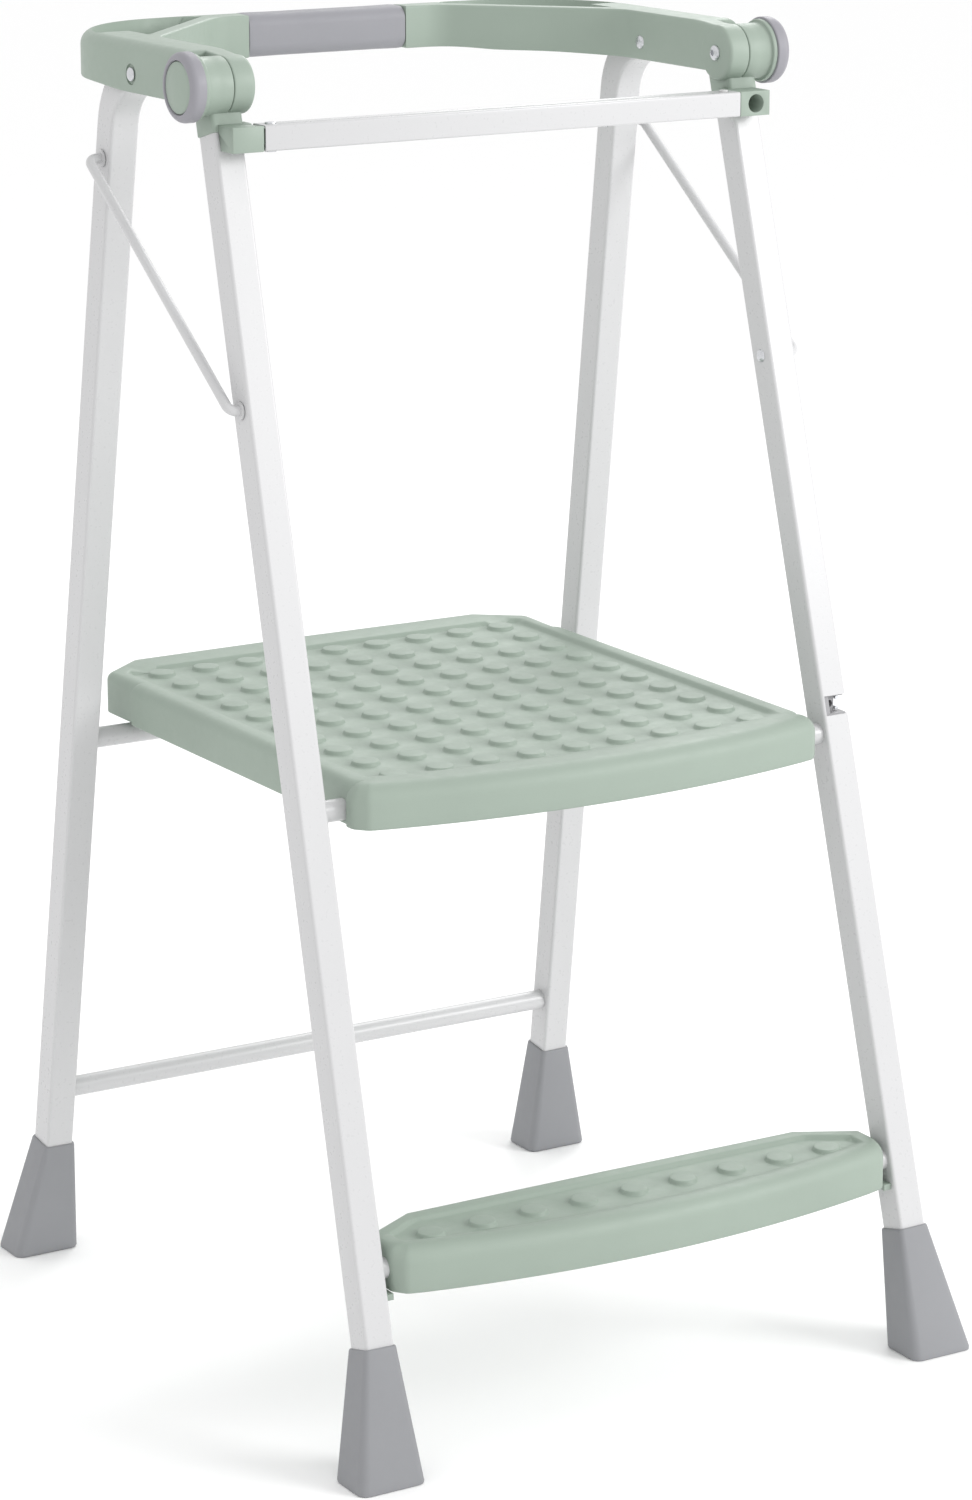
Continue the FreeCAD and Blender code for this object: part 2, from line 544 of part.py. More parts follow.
# way for the front tube through the sides, open below
deck = deck.cut(box(-200, 200, fy(FT_Z) - 8.6, fy(FT_Z) + 8.6, 400, FT_Z))
deck = deck.cut(cylx(-200, 200, fy(FT_Z), FT_Z, 8.6))
deck = deck.cut(box(-200, 200, fy(FT_Z) - 9.6, fy(FT_Z) + 60.0, 400, DECK_Z - DECK_T + 2).cut(box(-182, 182, -200, 200, 380, 460)))
# inset rear corners of the skirt over the rear tube
for s_ in (-1, 1):
    nb = box(183.0, 190.0, 208.0, 256.0, 400, DECK_Z - 9) if s_ > 0 else box(-190.0, -183.0, 208.0, 256.0, 400, DECK_Z - 9)
    bk = box(179.8, 183.0, 206.0, 253.0, DECK_Z - DECK_T, DECK_Z - 6.9) if s_ > 0 else box(-183.0, -179.8, 206.0, 253.0, DECK_Z - DECK_T, DECK_Z - 6.9)
    deck = deck.cut(nb).fuse(bk)
put("platform_deck", one(deck.removeSplitter()))

# hinge saddles under the deck that ride on the front tube
sad = []
for x_ in (-150.0, -50.0, 50.0, 150.0):
    b = box(x_ - 9, x_ + 9, fy(FT_Z) - 11.0, fy(FT_Z) + 11.0, FT_Z - 11.0, DECK_Z - 7.0)
    b = b.cut(cylx(x_ - 20, x_ + 20, fy(FT_Z), FT_Z, TUBE_R + 0.08))
    sad.append(b)
group("platform_hinge_saddles", sad)
scs = []
# saddle screws, upward from below beside the tube
for x_ in (-150.0, -50.0, 50.0, 150.0):
    y_ = fy(FT_Z) + 9.35
    scs.append(cylz(x_, y_, FT_Z - 12.4, FT_Z - 11.0, 2.3))
group("platform_saddle_screws", scs)
# rubber rests under the rear of the deck, above the rear tube
pads = []
for x_ in (-90.0, 90.0):
    pads.append(box(x_ - 16, x_ + 16, 222.0, 241.0, 413.2, DECK_Z - 7.0))
pads = [p.cut(box(-200, 200, 198.7, 201.3, 400, 450)) for p in pads]
group("platform_rear_rests", pads)

# ---------------------------------------------------------------- lower step
SHW, SYR = 200.5, -137.5
step = bevelled_plate((SHW, SYR, 40.0, 24.0, -203.0, 21.0, 16.0), STEP_Z - STEP_T, STEP_Z, 3.5, 3.5)
sin_ = plate(bowed_plan(SHW - 3.2, SYR - 3.2, 39.0, 23.4, -199.6, 20.6, 13.0), STEP_Z - STEP_T - 1, STEP_Z - 7.0)
step = step.cut(sin_)
srec = extrude_z([(-186, -197), (186, -197), (186, -171), (155, -154), (-155, -154), (-186, -171)], STEP_Z - 3.4, STEP_Z + 5)
step = step.cut(srec)
sst = []
for i in range(9):
    sst.append(Part.makeCone(10.4, 9.0, 3.2, V(-161.2 + 40.3 * i, -177.0, STEP_Z - 3.6), V(0, 0, 1)))
step = step.fuse(sst)
srib = []
for x_ in (-150, -90, -30, 30, 90, 150):
    srib.append(box(x_ - 1.3, x_ + 1.3, -215, -139, STEP_Z - 8.8, STEP_Z - 6.9))
step = step.fuse(srib)
# side walls slotted for the carrying tube and relieved beside the legs
step = step.cut(cylx(-210, 210, fy(ST_Z), ST_Z, TUBE_R + 0.02))
legs_room = front_prism(90, 170, LEG_W + 0.6, LEG_D + 0.6, LEG_R)
step = step.cut(legs_room).cut(mirror(legs_room))
put("lower_step", one(step.removeSplitter()))
sb = []
for x_ in (-120.0, 0.0, 120.0):
    b = box(x_ - 8, x_ + 8, fy(ST_Z) - 10.5, fy(ST_Z) + 10.5, ST_Z - 10.5, STEP_Z - 7.0)
    b = b.cut(cylx(x_ - 20, x_ + 20, fy(ST_Z), ST_Z, TUBE_R + 0.0))
    sb.append(b)
group("step_tube_clamps", sb)
cs = []
for x_ in (-120.0, 0.0, 120.0):
    cs.append(cylz(x_, fy(ST_Z) + 9.0, ST_Z - 12.0, ST_Z - 10.5, 2.3))
group("step_clamp_screws", cs)
# small end lugs between the tread and the legs
lug = box(fx(118) - LEG_W / 2 - 6.0, fx(118) - LEG_W / 2 - 0.1, fy(123) - 9, fy(123) + 9, 115.0, 119.4)
lug = lug.cut(front_prism(90, 170, LEG_W, LEG_D, LEG_R))
group("step_end_lugs", [lug, mirror(lug)])

# ---------------------------------------------------------------- front bar
y_face = lambda z: fy(z) - LEG_D / 2 / math.cos(math.atan(FYS))
def block_base(extra):
    b = box(BAR_X, 212.0, BAR_Y0, 30.0, BAR_Z0, BAR_Z1)
    leg = front_prism(820, 900, LEG_W, LEG_D, LEG_R).fuse(front_prism(861.0, 889.0, LEG_W + 1.8, LEG_D + 1.8, 2.6))
    back = box(180, 230, fy(860) - 2, 60, 800, 900)
    b = b.cut(leg).cut(back)
    return b


blk = block_base(0)
tongue_r = box(171.5, BAR_X + 1, BAR_Y0 + 2.2, BAR_Y1 - 0.3, 857.4, 863.4)
latch = fuse(blk, tongue_r)
latch = latch.cut(Part.makeCylinder(6.4, 40, V(200.6, -20, 860.5), V(0, 1, 0)).cut(box(180, 230, fy(860) - 13.5, 60, 800, 900)))
put("gate_latch_block", one(latch))
lb = mirror(block_base(0))
relief = cylz(-BAR_PIN_X, BAR_PIN_Y, 840, 880, 13.0)
lb = lb.cut(relief)
# hinge knuckle inside the bar; its neck leaves through the bar's open back,
# so the bar's front face stays whole while it swings forward
knuckle = cylz(-BAR_PIN_X, BAR_PIN_Y, 856.0, 865.0, 5.4)
neck = box(-BAR_PIN_X - 4.0, -BAR_PIN_X + 4.0, BAR_PIN_Y, BAR_PIN_Y + 16.0, 856.0, 865.0)
arm_l = box(-BAR_X - 4.0, -BAR_PIN_X + 4.0, BAR_PIN_Y + 10.8, BAR_PIN_Y + 16.0, 856.0, 865.0)
lb = fuse(lb, knuckle, neck, arm_l)
lb = lb.cut(cylz(-BAR_PIN_X, BAR_PIN_Y, 840, 880, 2.56))
put("gate_hinge_block", one(lb))

bw, bh = BAR_Y1 - BAR_Y0, BAR_Z1 - BAR_Z0
bar_o = prism(rrect(bw, bh, 1.6, frame_at(V(-BAR_X + 0.5, (BAR_Y0 + BAR_Y1) / 2, (BAR_Z0 + BAR_Z1) / 2), V(0, 1, 0), V(0, 0, 1))), V(2 * BAR_X - 1.0, 0, 0))
bar_i = prism(rrect(bw - 2.4, bh - 2.4, 0.6, frame_at(V(-BAR_X - 5, (BAR_Y0 + BAR_Y1) / 2, (BAR_Z0 + BAR_Z1) / 2), V(0, 1, 0), V(0, 0, 1))), V(2 * BAR_X + 10, 0, 0))
bar = bar_o.cut(bar_i)
# open back at the latch end, and at the hinge end so the tongue clears
bar = bar.cut(box(168.0, 200.0, BAR_Y1 - 3.0, BAR_Y1 + 3, BAR_Z0 + 1.4, BAR_Z1 - 1.4))
bar = bar.cut(box(-200.0, -BAR_PIN_X + 7.5, BAR_PIN_Y - 1.0, BAR_Y1 + 3, BAR_Z0 + 3.0, BAR_Z1 - 3.0))
bar = bar.cut(cylz(-BAR_PIN_X, BAR_PIN_Y, 840, 880, 2.5))
bar = bar.cut(cylz(BAR_PIN_X, BAR_PIN_Y, 840, 880, 3.2))
put("gate_bar", one(bar))
pin = cylz(-BAR_PIN_X, BAR_PIN_Y, BAR_Z0 - 0.01, BAR_Z1 + 0.01, 2.5)
head = cylz(-BAR_PIN_X, BAR_PIN_Y, BAR_Z1, BAR_Z1 + 1.2, 3.8)
head = top_fillet(head, BAR_Z1 + 1.2, 0.9)
head2 = cylz(-BAR_PIN_X, BAR_PIN_Y, BAR_Z0 - 1.2, BAR_Z0, 3.8)
put("gate_hinge_pin", one(fuse(pin, head, head2)))
# plug inside the bar that carries the two squeeze buttons
plug = box(162.0, 168.0, BAR_Y0 + 1.2, BAR_Y1 - 1.2, BAR_Z0 + 1.2, BAR_Z1 - 1.2)
put("gate_bar_plug", one(plug.common(bar_i)))
def squeeze(top):
    z = BAR_Z1 if top else BAR_Z0
    s = 1 if top else -1
    if top:
        b = cylz(BAR_PIN_X, BAR_PIN_Y, z - 1.2, z + 1.3, 3.0)
        b = top_fillet(b, z + 1.3, 0.8)
        f = cylz(BAR_PIN_X, BAR_PIN_Y, z - 2.1, z - 1.25, 4.4).fuse(cylz(BAR_PIN_X, BAR_PIN_Y, z - 2.1, z - 1.0, 3.0))
    else:
        b = cylz(BAR_PIN_X, BAR_PIN_Y, z - 1.3, z + 1.2, 3.0)
        f = cylz(BAR_PIN_X, BAR_PIN_Y, z + 1.25, z + 2.1, 4.4).fuse(cylz(BAR_PIN_X, BAR_PIN_Y, z + 1.0, z + 2.1, 3.0))
    return fuse(b, f)


put("gate_button_top", one(squeeze(True)))
put("gate_button_bottom", one(squeeze(False)))

# catch screws in the leg window
group("leg_catch_screws", scr)
OUT["leg_catch_insert"] = one(OUT["leg_catch_insert"].cut(scr_cut))
for n_ in ("right", "left"):
    r_ = rod2 if n_ == "right" else mirror(rod2)
    OUT["brace_rod_" + n_] = one(r_)

# ---------------------------------------------------------------- output
xs0 = min(s.BoundBox.XMin for s in OUT.values())
xs1 = max(s.BoundBox.XMax for s in OUT.values())
ys0 = min(s.BoundBox.YMin for s in OUT.values())
ys1 = max(s.BoundBox.YMax for s in OUT.values())
SHIFT_Y = 37.5          # half of the footprint's front and rear limits
os.makedirs("parts", exist_ok=True)
for name in sorted(OUT):
    s = OUT[name].copy()
    s.translate(V(0, -SHIFT_Y, 0))
    s.exportStep("parts/%s.step" % name)
    nb = len(s.Solids)
    bb = s.BoundBox
    print("%-28s solids %d valid %s vol %.0f box x %.1f..%.1f y %.1f..%.1f z %.1f..%.1f" % (
        name, nb, s.isValid(), s.Volume, bb.XMin, bb.XMax, bb.YMin, bb.YMax, bb.ZMin, bb.ZMax))
print("overall x %.2f %.2f y %.2f %.2f" % (xs0, xs1, ys0, ys1))
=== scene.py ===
import bpy, bmesh, math, json, random
from mathutils import Vector, Matrix, geometry


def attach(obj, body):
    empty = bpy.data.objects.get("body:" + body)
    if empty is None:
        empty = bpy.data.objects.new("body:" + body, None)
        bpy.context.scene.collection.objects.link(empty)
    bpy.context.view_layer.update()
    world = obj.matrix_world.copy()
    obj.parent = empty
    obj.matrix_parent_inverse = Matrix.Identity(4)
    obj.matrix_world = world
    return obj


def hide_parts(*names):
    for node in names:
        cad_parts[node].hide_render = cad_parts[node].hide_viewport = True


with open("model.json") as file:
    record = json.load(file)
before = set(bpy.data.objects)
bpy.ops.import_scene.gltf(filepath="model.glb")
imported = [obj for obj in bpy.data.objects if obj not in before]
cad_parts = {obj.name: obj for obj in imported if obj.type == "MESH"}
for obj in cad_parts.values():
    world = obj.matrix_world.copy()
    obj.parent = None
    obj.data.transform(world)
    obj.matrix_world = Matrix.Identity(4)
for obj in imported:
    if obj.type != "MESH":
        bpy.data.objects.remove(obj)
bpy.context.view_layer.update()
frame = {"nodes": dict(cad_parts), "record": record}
NODES = frame["nodes"]
SHIFT = 37.5        # the row frame's origin lies this far behind the drawing origin, mm

scene = bpy.context.scene
scene.view_settings.view_transform = "Standard"
scene.view_settings.look = "None"


def mm(x, y, z):
    return Vector((x * 0.001, (y - SHIFT) * 0.001, z * 0.001))


# ------------------------------------------------------------------ materials
def new_mat(name):
    m = bpy.data.materials.new(name)
    m.use_nodes = True
    nt = m.node_tree
    b = nt.nodes["Principled BSDF"]
    return m, nt, b


def tex_coord(nt):
    return nt.nodes.new("ShaderNodeTexCoord").outputs["Object"]


def noise(nt, co, scale, detail=2.0, rough=0.5):
    n = nt.nodes.new("ShaderNodeTexNoise")
    n.inputs["Scale"].default_value = scale
    n.inputs["Detail"].default_value = detail
    n.inputs["Roughness"].default_value = rough
    nt.links.new(co, n.inputs["Vector"])
    return n.outputs["Fac"]


def remap(nt, fac, lo, hi, a=0.3, b=0.7):
    n = nt.nodes.new("ShaderNodeMapRange")
    n.inputs["From Min"].default_value = a
    n.inputs["From Max"].default_value = b
    n.inputs["To Min"].default_value = lo
    n.inputs["To Max"].default_value = hi
    nt.links.new(fac, n.inputs["Value"])
    return n.outputs["Result"]


def mixcol(nt, fac, c0, c1):
    n = nt.nodes.new("ShaderNodeMix")
    n.data_type = "RGBA"
    n.inputs["A"].default_value = (*c0, 1)
    n.inputs["B"].default_value = (*c1, 1)
    nt.links.new(fac, n.inputs["Factor"])
    return n.outputs["Result"]


def bump(nt, b, height, strength, dist, chain=None):
    n = nt.nodes.new("ShaderNodeBump")
    n.inputs["Strength"].default_value = strength
    n.inputs["Distance"].default_value = dist
    nt.links.new(height, n.inputs["Height"])
    if chain is not None:
        nt.links.new(chain, n.inputs["Normal"])
    nt.links.new(n.outputs["Normal"], b.inputs["Normal"])
    return n.outputs["Normal"]


def srgb(r, g, b):
    def f(c):
        c = c / 255.0
        return c / 12.92 if c <= 0.04045 else ((c + 0.055) / 1.055) ** 2.4
    return (f(r), f(g), f(b))


def scaled(c, k):
    return tuple(min(1.0, v * k) for v in c)


def plastic(name, col, rough=0.46, grain=1500.0, grain_depth=0.00006, strength=0.35, spec=0.4, vary=0.035):
    """moulded plastic: spark-eroded grain, cloudy gloss, slight tone drift"""
    m, nt, b = new_mat(name)
    co = tex_coord(nt)
    cloud = noise(nt, co, 9.0, 3.0, 0.55)
    fine = noise(nt, co, grain, 2.0, 0.6)
    mid = noise(nt, co, 160.0, 3.0, 0.6)
    c = mixcol(nt, remap(nt, cloud, 0.0, 1.0), scaled(col, 1 - vary), scaled(col, 1 + vary))
    nt.links.new(c, b.inputs["Base Color"])
    nt.links.new(remap(nt, mid, rough - 0.05, rough + 0.07), b.inputs["Roughness"])
    b.inputs["Specular IOR Level"].default_value = spec
    n1 = bump(nt, b, mid, 0.12, 0.00025)
    bump(nt, b, fine, strength, grain_depth, n1)
    return m


def enamel(name, col, rough=0.3):
    """powder coat on steel: faint orange peel"""
    m, nt, b = new_mat(name)
    co = tex_coord(nt)
    cloud = noise(nt, co, 6.0, 2.0)
    peel = noise(nt, co, 420.0, 1.0, 0.4)
    c = mixcol(nt, remap(nt, cloud, 0.0, 1.0), scaled(col, 0.985), scaled(col, 1.01))
    nt.links.new(c, b.inputs["Base Color"])
    nt.links.new(remap(nt, peel, rough - 0.03, rough + 0.05), b.inputs["Roughness"])
    b.inputs["Specular IOR Level"].default_value = 0.45
    b.inputs["Coat Weight"].default_value = 0.15
    b.inputs["Coat Roughness"].default_value = 0.2
    bump(nt, b, peel, 0.10, 0.00012)
    return m


def metal(name, col, rough=0.28):
    m, nt, b = new_mat(name)
    co = tex_coord(nt)
    n = noise(nt, co, 700.0, 3.0)
    cl = noise(nt, co, 60.0, 2.0)
    b.inputs["Metallic"].default_value = 1.0
    nt.links.new(mixcol(nt, cl, scaled(col, 0.9), scaled(col, 1.06)), b.inputs["Base Color"])
    nt.links.new(remap(nt, n, rough - 0.06, rough + 0.12), b.inputs["Roughness"])
    bump(nt, b, n, 0.12, 0.00005)
    return m


SAGE = srgb(148, 161, 150)
MAT_SAGE = plastic("sage_moulding", SAGE, 0.47)
MAT_SAGE_TREAD = plastic("sage_tread", SAGE, 0.5, 900.0, 0.00012, 0.5)
MAT_LILAC = plastic("lilac_grip", srgb(142, 142, 147), 0.55, 1200.0, 0.00008, 0.45)
MAT_RING = plastic("lilac_ring", srgb(144, 143, 149), 0.5, 1200.0, 0.00006, 0.4)
MAT_BOOT = plastic("grey_foot", srgb(139, 140, 143), 0.56, 1100.0, 0.0001, 0.45, 0.35)
MAT_GREY = plastic("grey_nylon", srgb(150, 150, 152), 0.45)
MAT_WHITEP = plastic("white_acetal", srgb(198, 198, 198), 0.3)
MAT_DARK = plastic("seam_shadow", srgb(70, 74, 72), 0.8)
MAT_WHITE = enamel("white_enamel", srgb(197, 197, 198))
MAT_STEEL = metal("zinc_steel", (0.62, 0.63, 0.65))
SLOT_MAT = {"white_frame": MAT_WHITE, "sage_plastic": MAT_SAGE, "grip_lilac_grey": MAT_LILAC, "foot_rubber": MAT_BOOT,
            "grey_plastic": MAT_GREY, "white_plastic": MAT_WHITEP, "steel": MAT_STEEL}

slot_of = {s["node"]: s["material_slot"] for s in frame["record"]["subparts"]}
for name, ob in NODES.items():
    m = SLOT_MAT[slot_of[name]]
    ob.data.materials.clear()
    ob.data.materials.append(m)


# ------------------------------------------------------------------ mesh helpers
def make(name, verts, faces, mat, body, replaces=(), smooth=True, sharp=35.0, extra_mats=(), fmat=None):
    me = bpy.data.meshes.new(name)
    me.from_pydata([tuple(v) for v in verts], [], faces)
    me.validate()
    me.update()
    ob = bpy.data.objects.new(name, me)
    scene.collection.objects.link(ob)
    me.materials.append(mat)
    for m in extra_mats:
        me.materials.append(m)
    if fmat:
        for p, i in zip(me.polygons, fmat):
            p.material_index = i
    clean(ob)
    if smooth:
        shade(ob, sharp)
    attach(ob, body)
    if replaces:
        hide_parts(*replaces)
    return ob


def clean(ob):
    bm = bmesh.new()
    bm.from_mesh(ob.data)
    bmesh.ops.remove_doubles(bm, verts=bm.verts, dist=1e-6)
    loose = [v for v in bm.verts if not v.link_faces]
    bmesh.ops.delete(bm, geom=loose, context="VERTS")
    bmesh.ops.recalc_face_normals(bm, faces=bm.faces)
    bm.to_mesh(ob.data)
    bm.free()


def shade(ob, sharp=35.0):
    me = ob.data
    for p in me.polygons:
        p.use_smooth = True
    lim = math.radians(sharp)
    bm = bmesh.new()
    bm.from_mesh(me)
    for e in bm.edges:
        e.smooth = not (len(e.link_faces) == 2 and e.calc_face_angle(0.0) > lim)
    bm.to_mesh(me)
    bm.free()


def join_meshes(parts):
    """[(verts, faces), ...] as one"""
    vs, fs = [], []
    for v, f in parts:
        k = len(vs)
        vs += list(v)
        fs += [tuple(i + k for i in q) for q in f]
    return vs, fs


def lathe_x(profile, y, z, n=72, sx=1.0):
    """profile [(x, r)] open or ending on the axis, revolved about the X line through y, z"""
    vs, fs = [], []
    rings = []
    for x, r in profile:
        if r < 1e-6:
            rings.append([len(vs)])
            vs.append(mm(sx * x, y, z))
        else:
            ids = []
            for i in range(n):
                a = 2 * math.pi * i / n
                ids.append(len(vs))
                vs.append(mm(sx * x, y + r * math.cos(a), z + r * math.sin(a)))
            rings.append(ids)
    for a, b in zip(rings[:-1], rings[1:]):
        for i in range(n):
            j = (i + 1) % n
            if len(a) == 1 and len(b) == 1:
                break
            if len(a) == 1:
                fs.append((a[0], b[j], b[i]))
            elif len(b) == 1:
                fs.append((a[i], a[j], b[0]))
            else:
                fs.append((a[i], a[j], b[j], b[i]))
    return vs, fs


def arc_pts(cx, cr, rad, a0, a1, n=6):
    """profile arc in (x, r)"""
    out = []
    for i in range(n + 1):
        a = math.radians(a0 + (a1 - a0) * i / n)
        out.append((cx + rad * math.cos(a), cr + rad * math.sin(a)))
    return out


def loft(rings, cap0=True, cap1=True):
    vs, fs = [], []
    n = len(rings[0])
    for r in rings:
        vs += r
    for k in range(len(rings) - 1):
        for i in range(n):
            j = (i + 1) % n
            fs.append((k * n + i, k * n + j, (k + 1) * n + j, (k + 1) * n + i))
    if cap0:
        fs.append(tuple(range(n - 1, -1, -1)))
    if cap1:
        fs.append(tuple((len(rings) - 1) * n + i for i in range(n)))
    return vs, fs


def rrect_pts(w, h, r, seg=6):
    """rounded rectangle outline, counter-clockwise, local 2-D"""
    out = []
    for cx, cy, a0 in ((w / 2 - r, h / 2 - r, 0), (-w / 2 + r, h / 2 - r, 90), (-w / 2 + r, -h / 2 + r, 180), (w / 2 - r, -h / 2 + r, 270)):
        for i in range(seg + 1):
            a = math.radians(a0 + 90.0 * i / seg)
            out.append((cx + r * math.cos(a), cy + r * math.sin(a)))
    return out


def round_poly(pts, radii, seg=6, step=7.0):
    """closed polygon with its corners rounded and its long sides divided"""
    n = len(pts)
    out = []
    for i in range(n):
        p0, p, p1 = Vector(pts[i - 1]), Vector(pts[i]), Vector(pts[(i + 1) % n])
        a, b = (p0 - p), (p1 - p)
        la, lb = a.length, b.length
        if la < 1e-9 or lb < 1e-9:
            continue
        a.normalize(); b.normalize()
        r = radii[i] if isinstance(radii, (list, tuple)) else radii
        if r <= 0:
            out.append(p)
            continue
        ang = math.acos(max(-1, min(1, a.dot(b))))
        if ang > math.radians(168):
            out.append(p)
            continue
        t = min(r / math.tan(ang / 2) if ang > 1e-3 else 0, la * 0.48, lb * 0.48)
        s, e = p + a * t, p + b * t
        for k in range(seg + 1):
            u = k / seg
            out.append(s * (1 - u) ** 2 + p * 2 * u * (1 - u) + e * u * u)
    res = []
    m = len(out)
    for i in range(m):
        p, q = out[i], out[(i + 1) % m]
        d = (q - p).length
        if d < 1e-6:
            continue
        k = max(1, int(d / step))
        for j in range(k):
            res.append(p + (q - p) * (j / k))
    return res


def inset_dirs(poly):
    """unit inward normals with the mitre length of each vertex of a CCW polygon"""
    n = len(poly)
    out = []
    for i in range(n):
        a = (poly[i] - poly[i - 1]).normalized()
        b = (poly[(i + 1) % n] - poly[i]).normalized()
        na, nb = Vector((-a.y, a.x)), Vector((-b.y, b.x))
        s = (na + nb)
        s.normalize()
        c = max(0.5, s.dot(na))
        out.append(s / c)
    return out


def smooth01(t):
    t = max(0.0, min(1.0, t))
    return t * t * (3 - 2 * t)


def soft_dirs(poly, reach):
    """unit inward normals averaged over a length of outline either side"""
    n = len(poly)
    seg, nrm, at = [], [], [0.0]
    for i in range(n):
        e = poly[(i + 1) % n] - poly[i]
        seg.append(e.length)
        nrm.append(Vector((-e.y, e.x)).normalized())
        at.append(at[-1] + e.length)
    out = []
    for i in range(n):
        acc = Vector((0.0, 0.0))
        for sgn in (1, -1):
            run, j = 0.0, i if sgn > 0 else (i - 1) % n
            while run < reach:
                take = min(seg[j], reach - run)
                w = 1.0 - (run + take / 2) / reach
                acc += nrm[j] * take * max(w, 0.0)
                run += seg[j]
                j = (j + sgn) % n
        out.append(acc.normalized())
    return out


def relief(outline, z_top, z_bot, edge_r, zfun, polylines=(), bottom_r=1.2, wall=None, under_z=None, seg=7, reach=0.0, turn=None):
    """A moulded panel. outline: CCW Vectors in mm. edge_r(p): top edge radius there.
    zfun(x, y): height of the top inside the edge radius. polylines: extra (closed, points) detail lines.
    wall/under_z: a hollow underside of that wall thickness; otherwise solid and flat."""
    n = len(outline)
    dirs = inset_dirs(outline)
    rad = [edge_r(p) for p in outline]
    top_dirs = soft_dirs(outline, reach) if reach else list(dirs)
    if turn:
        top_dirs = [turn(p, d) for p, d in zip(outline, top_dirs)]
    verts, faces = [], []
    rings = []

    def ring(fn):
        ids = []
        for i in range(n):
            x, y, z = fn(i)
            ids.append(len(verts))
            verts.append(mm(x, y, z))
        rings.append(ids)
        return ids

    def at(i, d, z):
        p = outline[i] + dirs[i] * d
        return p.x, p.y, z
    # from the underside up the skirt and over the edge
    if wall:
        ring(lambda i: at(i, wall, under_z))
        ring(lambda i: at(i, wall, z_bot + 0.3))
        ring(lambda i: at(i, wall - 0.4, z_bot))
    else:
        ring(lambda i: at(i, bottom_r * 1.6, z_bot))
    for k in range(4):
        a = math.radians(90 - 30 * k)
        ring(lambda i: at(i, bottom_r * (1 - math.cos(a)), z_bot + bottom_r * (1 - math.sin(a))))
    ring(lambda i: at(i, 0, z_bot + (z_top - z_bot - rad[i]) * 0.5))
    last2d = None
    for k in range(seg + 1):
        a = math.radians(90.0 * k / seg)
        d = [r * (1 - math.cos(a)) for r in rad]
        last2d = [outline[i] + top_dirs[i] * d[i] for i in range(n)]
        if k == seg:
            ring(lambda i: (last2d[i].x, last2d[i].y, zfun(last2d[i].x, last2d[i].y)))
        else:
            ring(lambda i: (last2d[i].x, last2d[i].y, zfun(last2d[i].x, last2d[i].y) - rad[i] * (1 - math.sin(a))))
    for A, B in zip(rings[:-1], rings[1:]):
        for i in range(n):
            j = (i + 1) % n
            faces.append((A[i], A[j], B[j], B[i]))
    # top: constrained triangulation between the last ring and the detail lines
    pts, edges = [], []
    for i, p in enumerate(last2d):
        pts.append(Vector((p.x, p.y)))
        edges.append((i, (i + 1) % n))
    inner = [Vector((p.x, p.y)) for p in last2d]
    for closed, pl in polylines:
        s = len(pts)
        kept = []
        for q in pl:
            kept.append(len(pts))
            pts.append(Vector((q[0], q[1])))
        for a_, b_ in zip(kept[:-1], kept[1:]):
            edges.append((a_, b_))
        if closed:
            edges.append((kept[-1], kept[0]))
    r = geometry.delaunay_2d_cdt(pts, edges, [], 1, 1e-5)
    # keep faces inside the ring
    base = len(verts)
    remapv = []
    cv, cf, orig = r[0], r[2], r[3]
    for v, o in zip(cv, orig):
        k = [q for q in o if q < n]
        if k:
            remapv.append(rings[-1][k[0]])
        else:
            remapv.append(len(verts))
            verts.append(mm(v.x, v.y, zfun(v.x, v.y)))
    for f in cf:
        c = sum((cv[i] for i in f), Vector((0, 0))) / len(f)
        area2 = sum(cv[f[i]].x * cv[f[(i + 1) % len(f)]].y - cv[f[(i + 1) % len(f)]].x * cv[f[i]].y for i in range(len(f)))
        if inside(c, inner):
            q = tuple(remapv[i] for i in f)
            faces.append(q if area2 > 0 else tuple(reversed(q)))
    # underside
    r = geometry.delaunay_2d_cdt([Vector((verts[i].x * 1000, verts[i].y * 1000)) for i in rings[0]], [(i, (i + 1) % n) for i in range(n)], [], 1, 1e-6)
    ring0 = [Vector((verts[i].x * 1000, verts[i].y * 1000)) for i in rings[0]]
    if len(r[0]) == n:
        names = [rings[0][o[0]] for o in r[3]]
        for f in r[2]:
            c = sum((r[0][i] for i in f), Vector((0, 0))) / len(f)
            if inside(c, ring0):
                faces.append(tuple(reversed([names[i] for i in f])))
    else:
        faces.append(tuple(reversed(rings[0])))
    return verts, faces


def inside(p, poly):
    c = False
    n = len(poly)
    j = n - 1
    for i in range(n):
        a, b = poly[i], poly[j]
        if (a.y > p.y) != (b.y > p.y) and p.x < (b.x - a.x) * (p.y - a.y) / (b.y - a.y) + a.x:
            c = not c
        j = i
    return c


def boxm(x0, x1, y0, y1, z0, z1):
    v = [mm(x, y, z) for z in (z0, z1) for x, y in ((x0, y0), (x1, y0), (x1, y1), (x0, y1))]
    f = [(0, 3, 2, 1), (4, 5, 6, 7), (0, 1, 5, 4), (1, 2, 6, 5), (2, 3, 7, 6), (3, 0, 4, 7)]
    return v, f


def bevel(ob, w_mm, seg=3, angle=40.0):
    m = ob.modifiers.new("edge", "BEVEL")
    m.width = w_mm * 0.001
    m.segments = seg
    m.limit_method = "ANGLE"
    m.angle_limit = math.radians(angle)
    m.harden_normals = False
    m.miter_outer = "MITER_ARC"
    return m


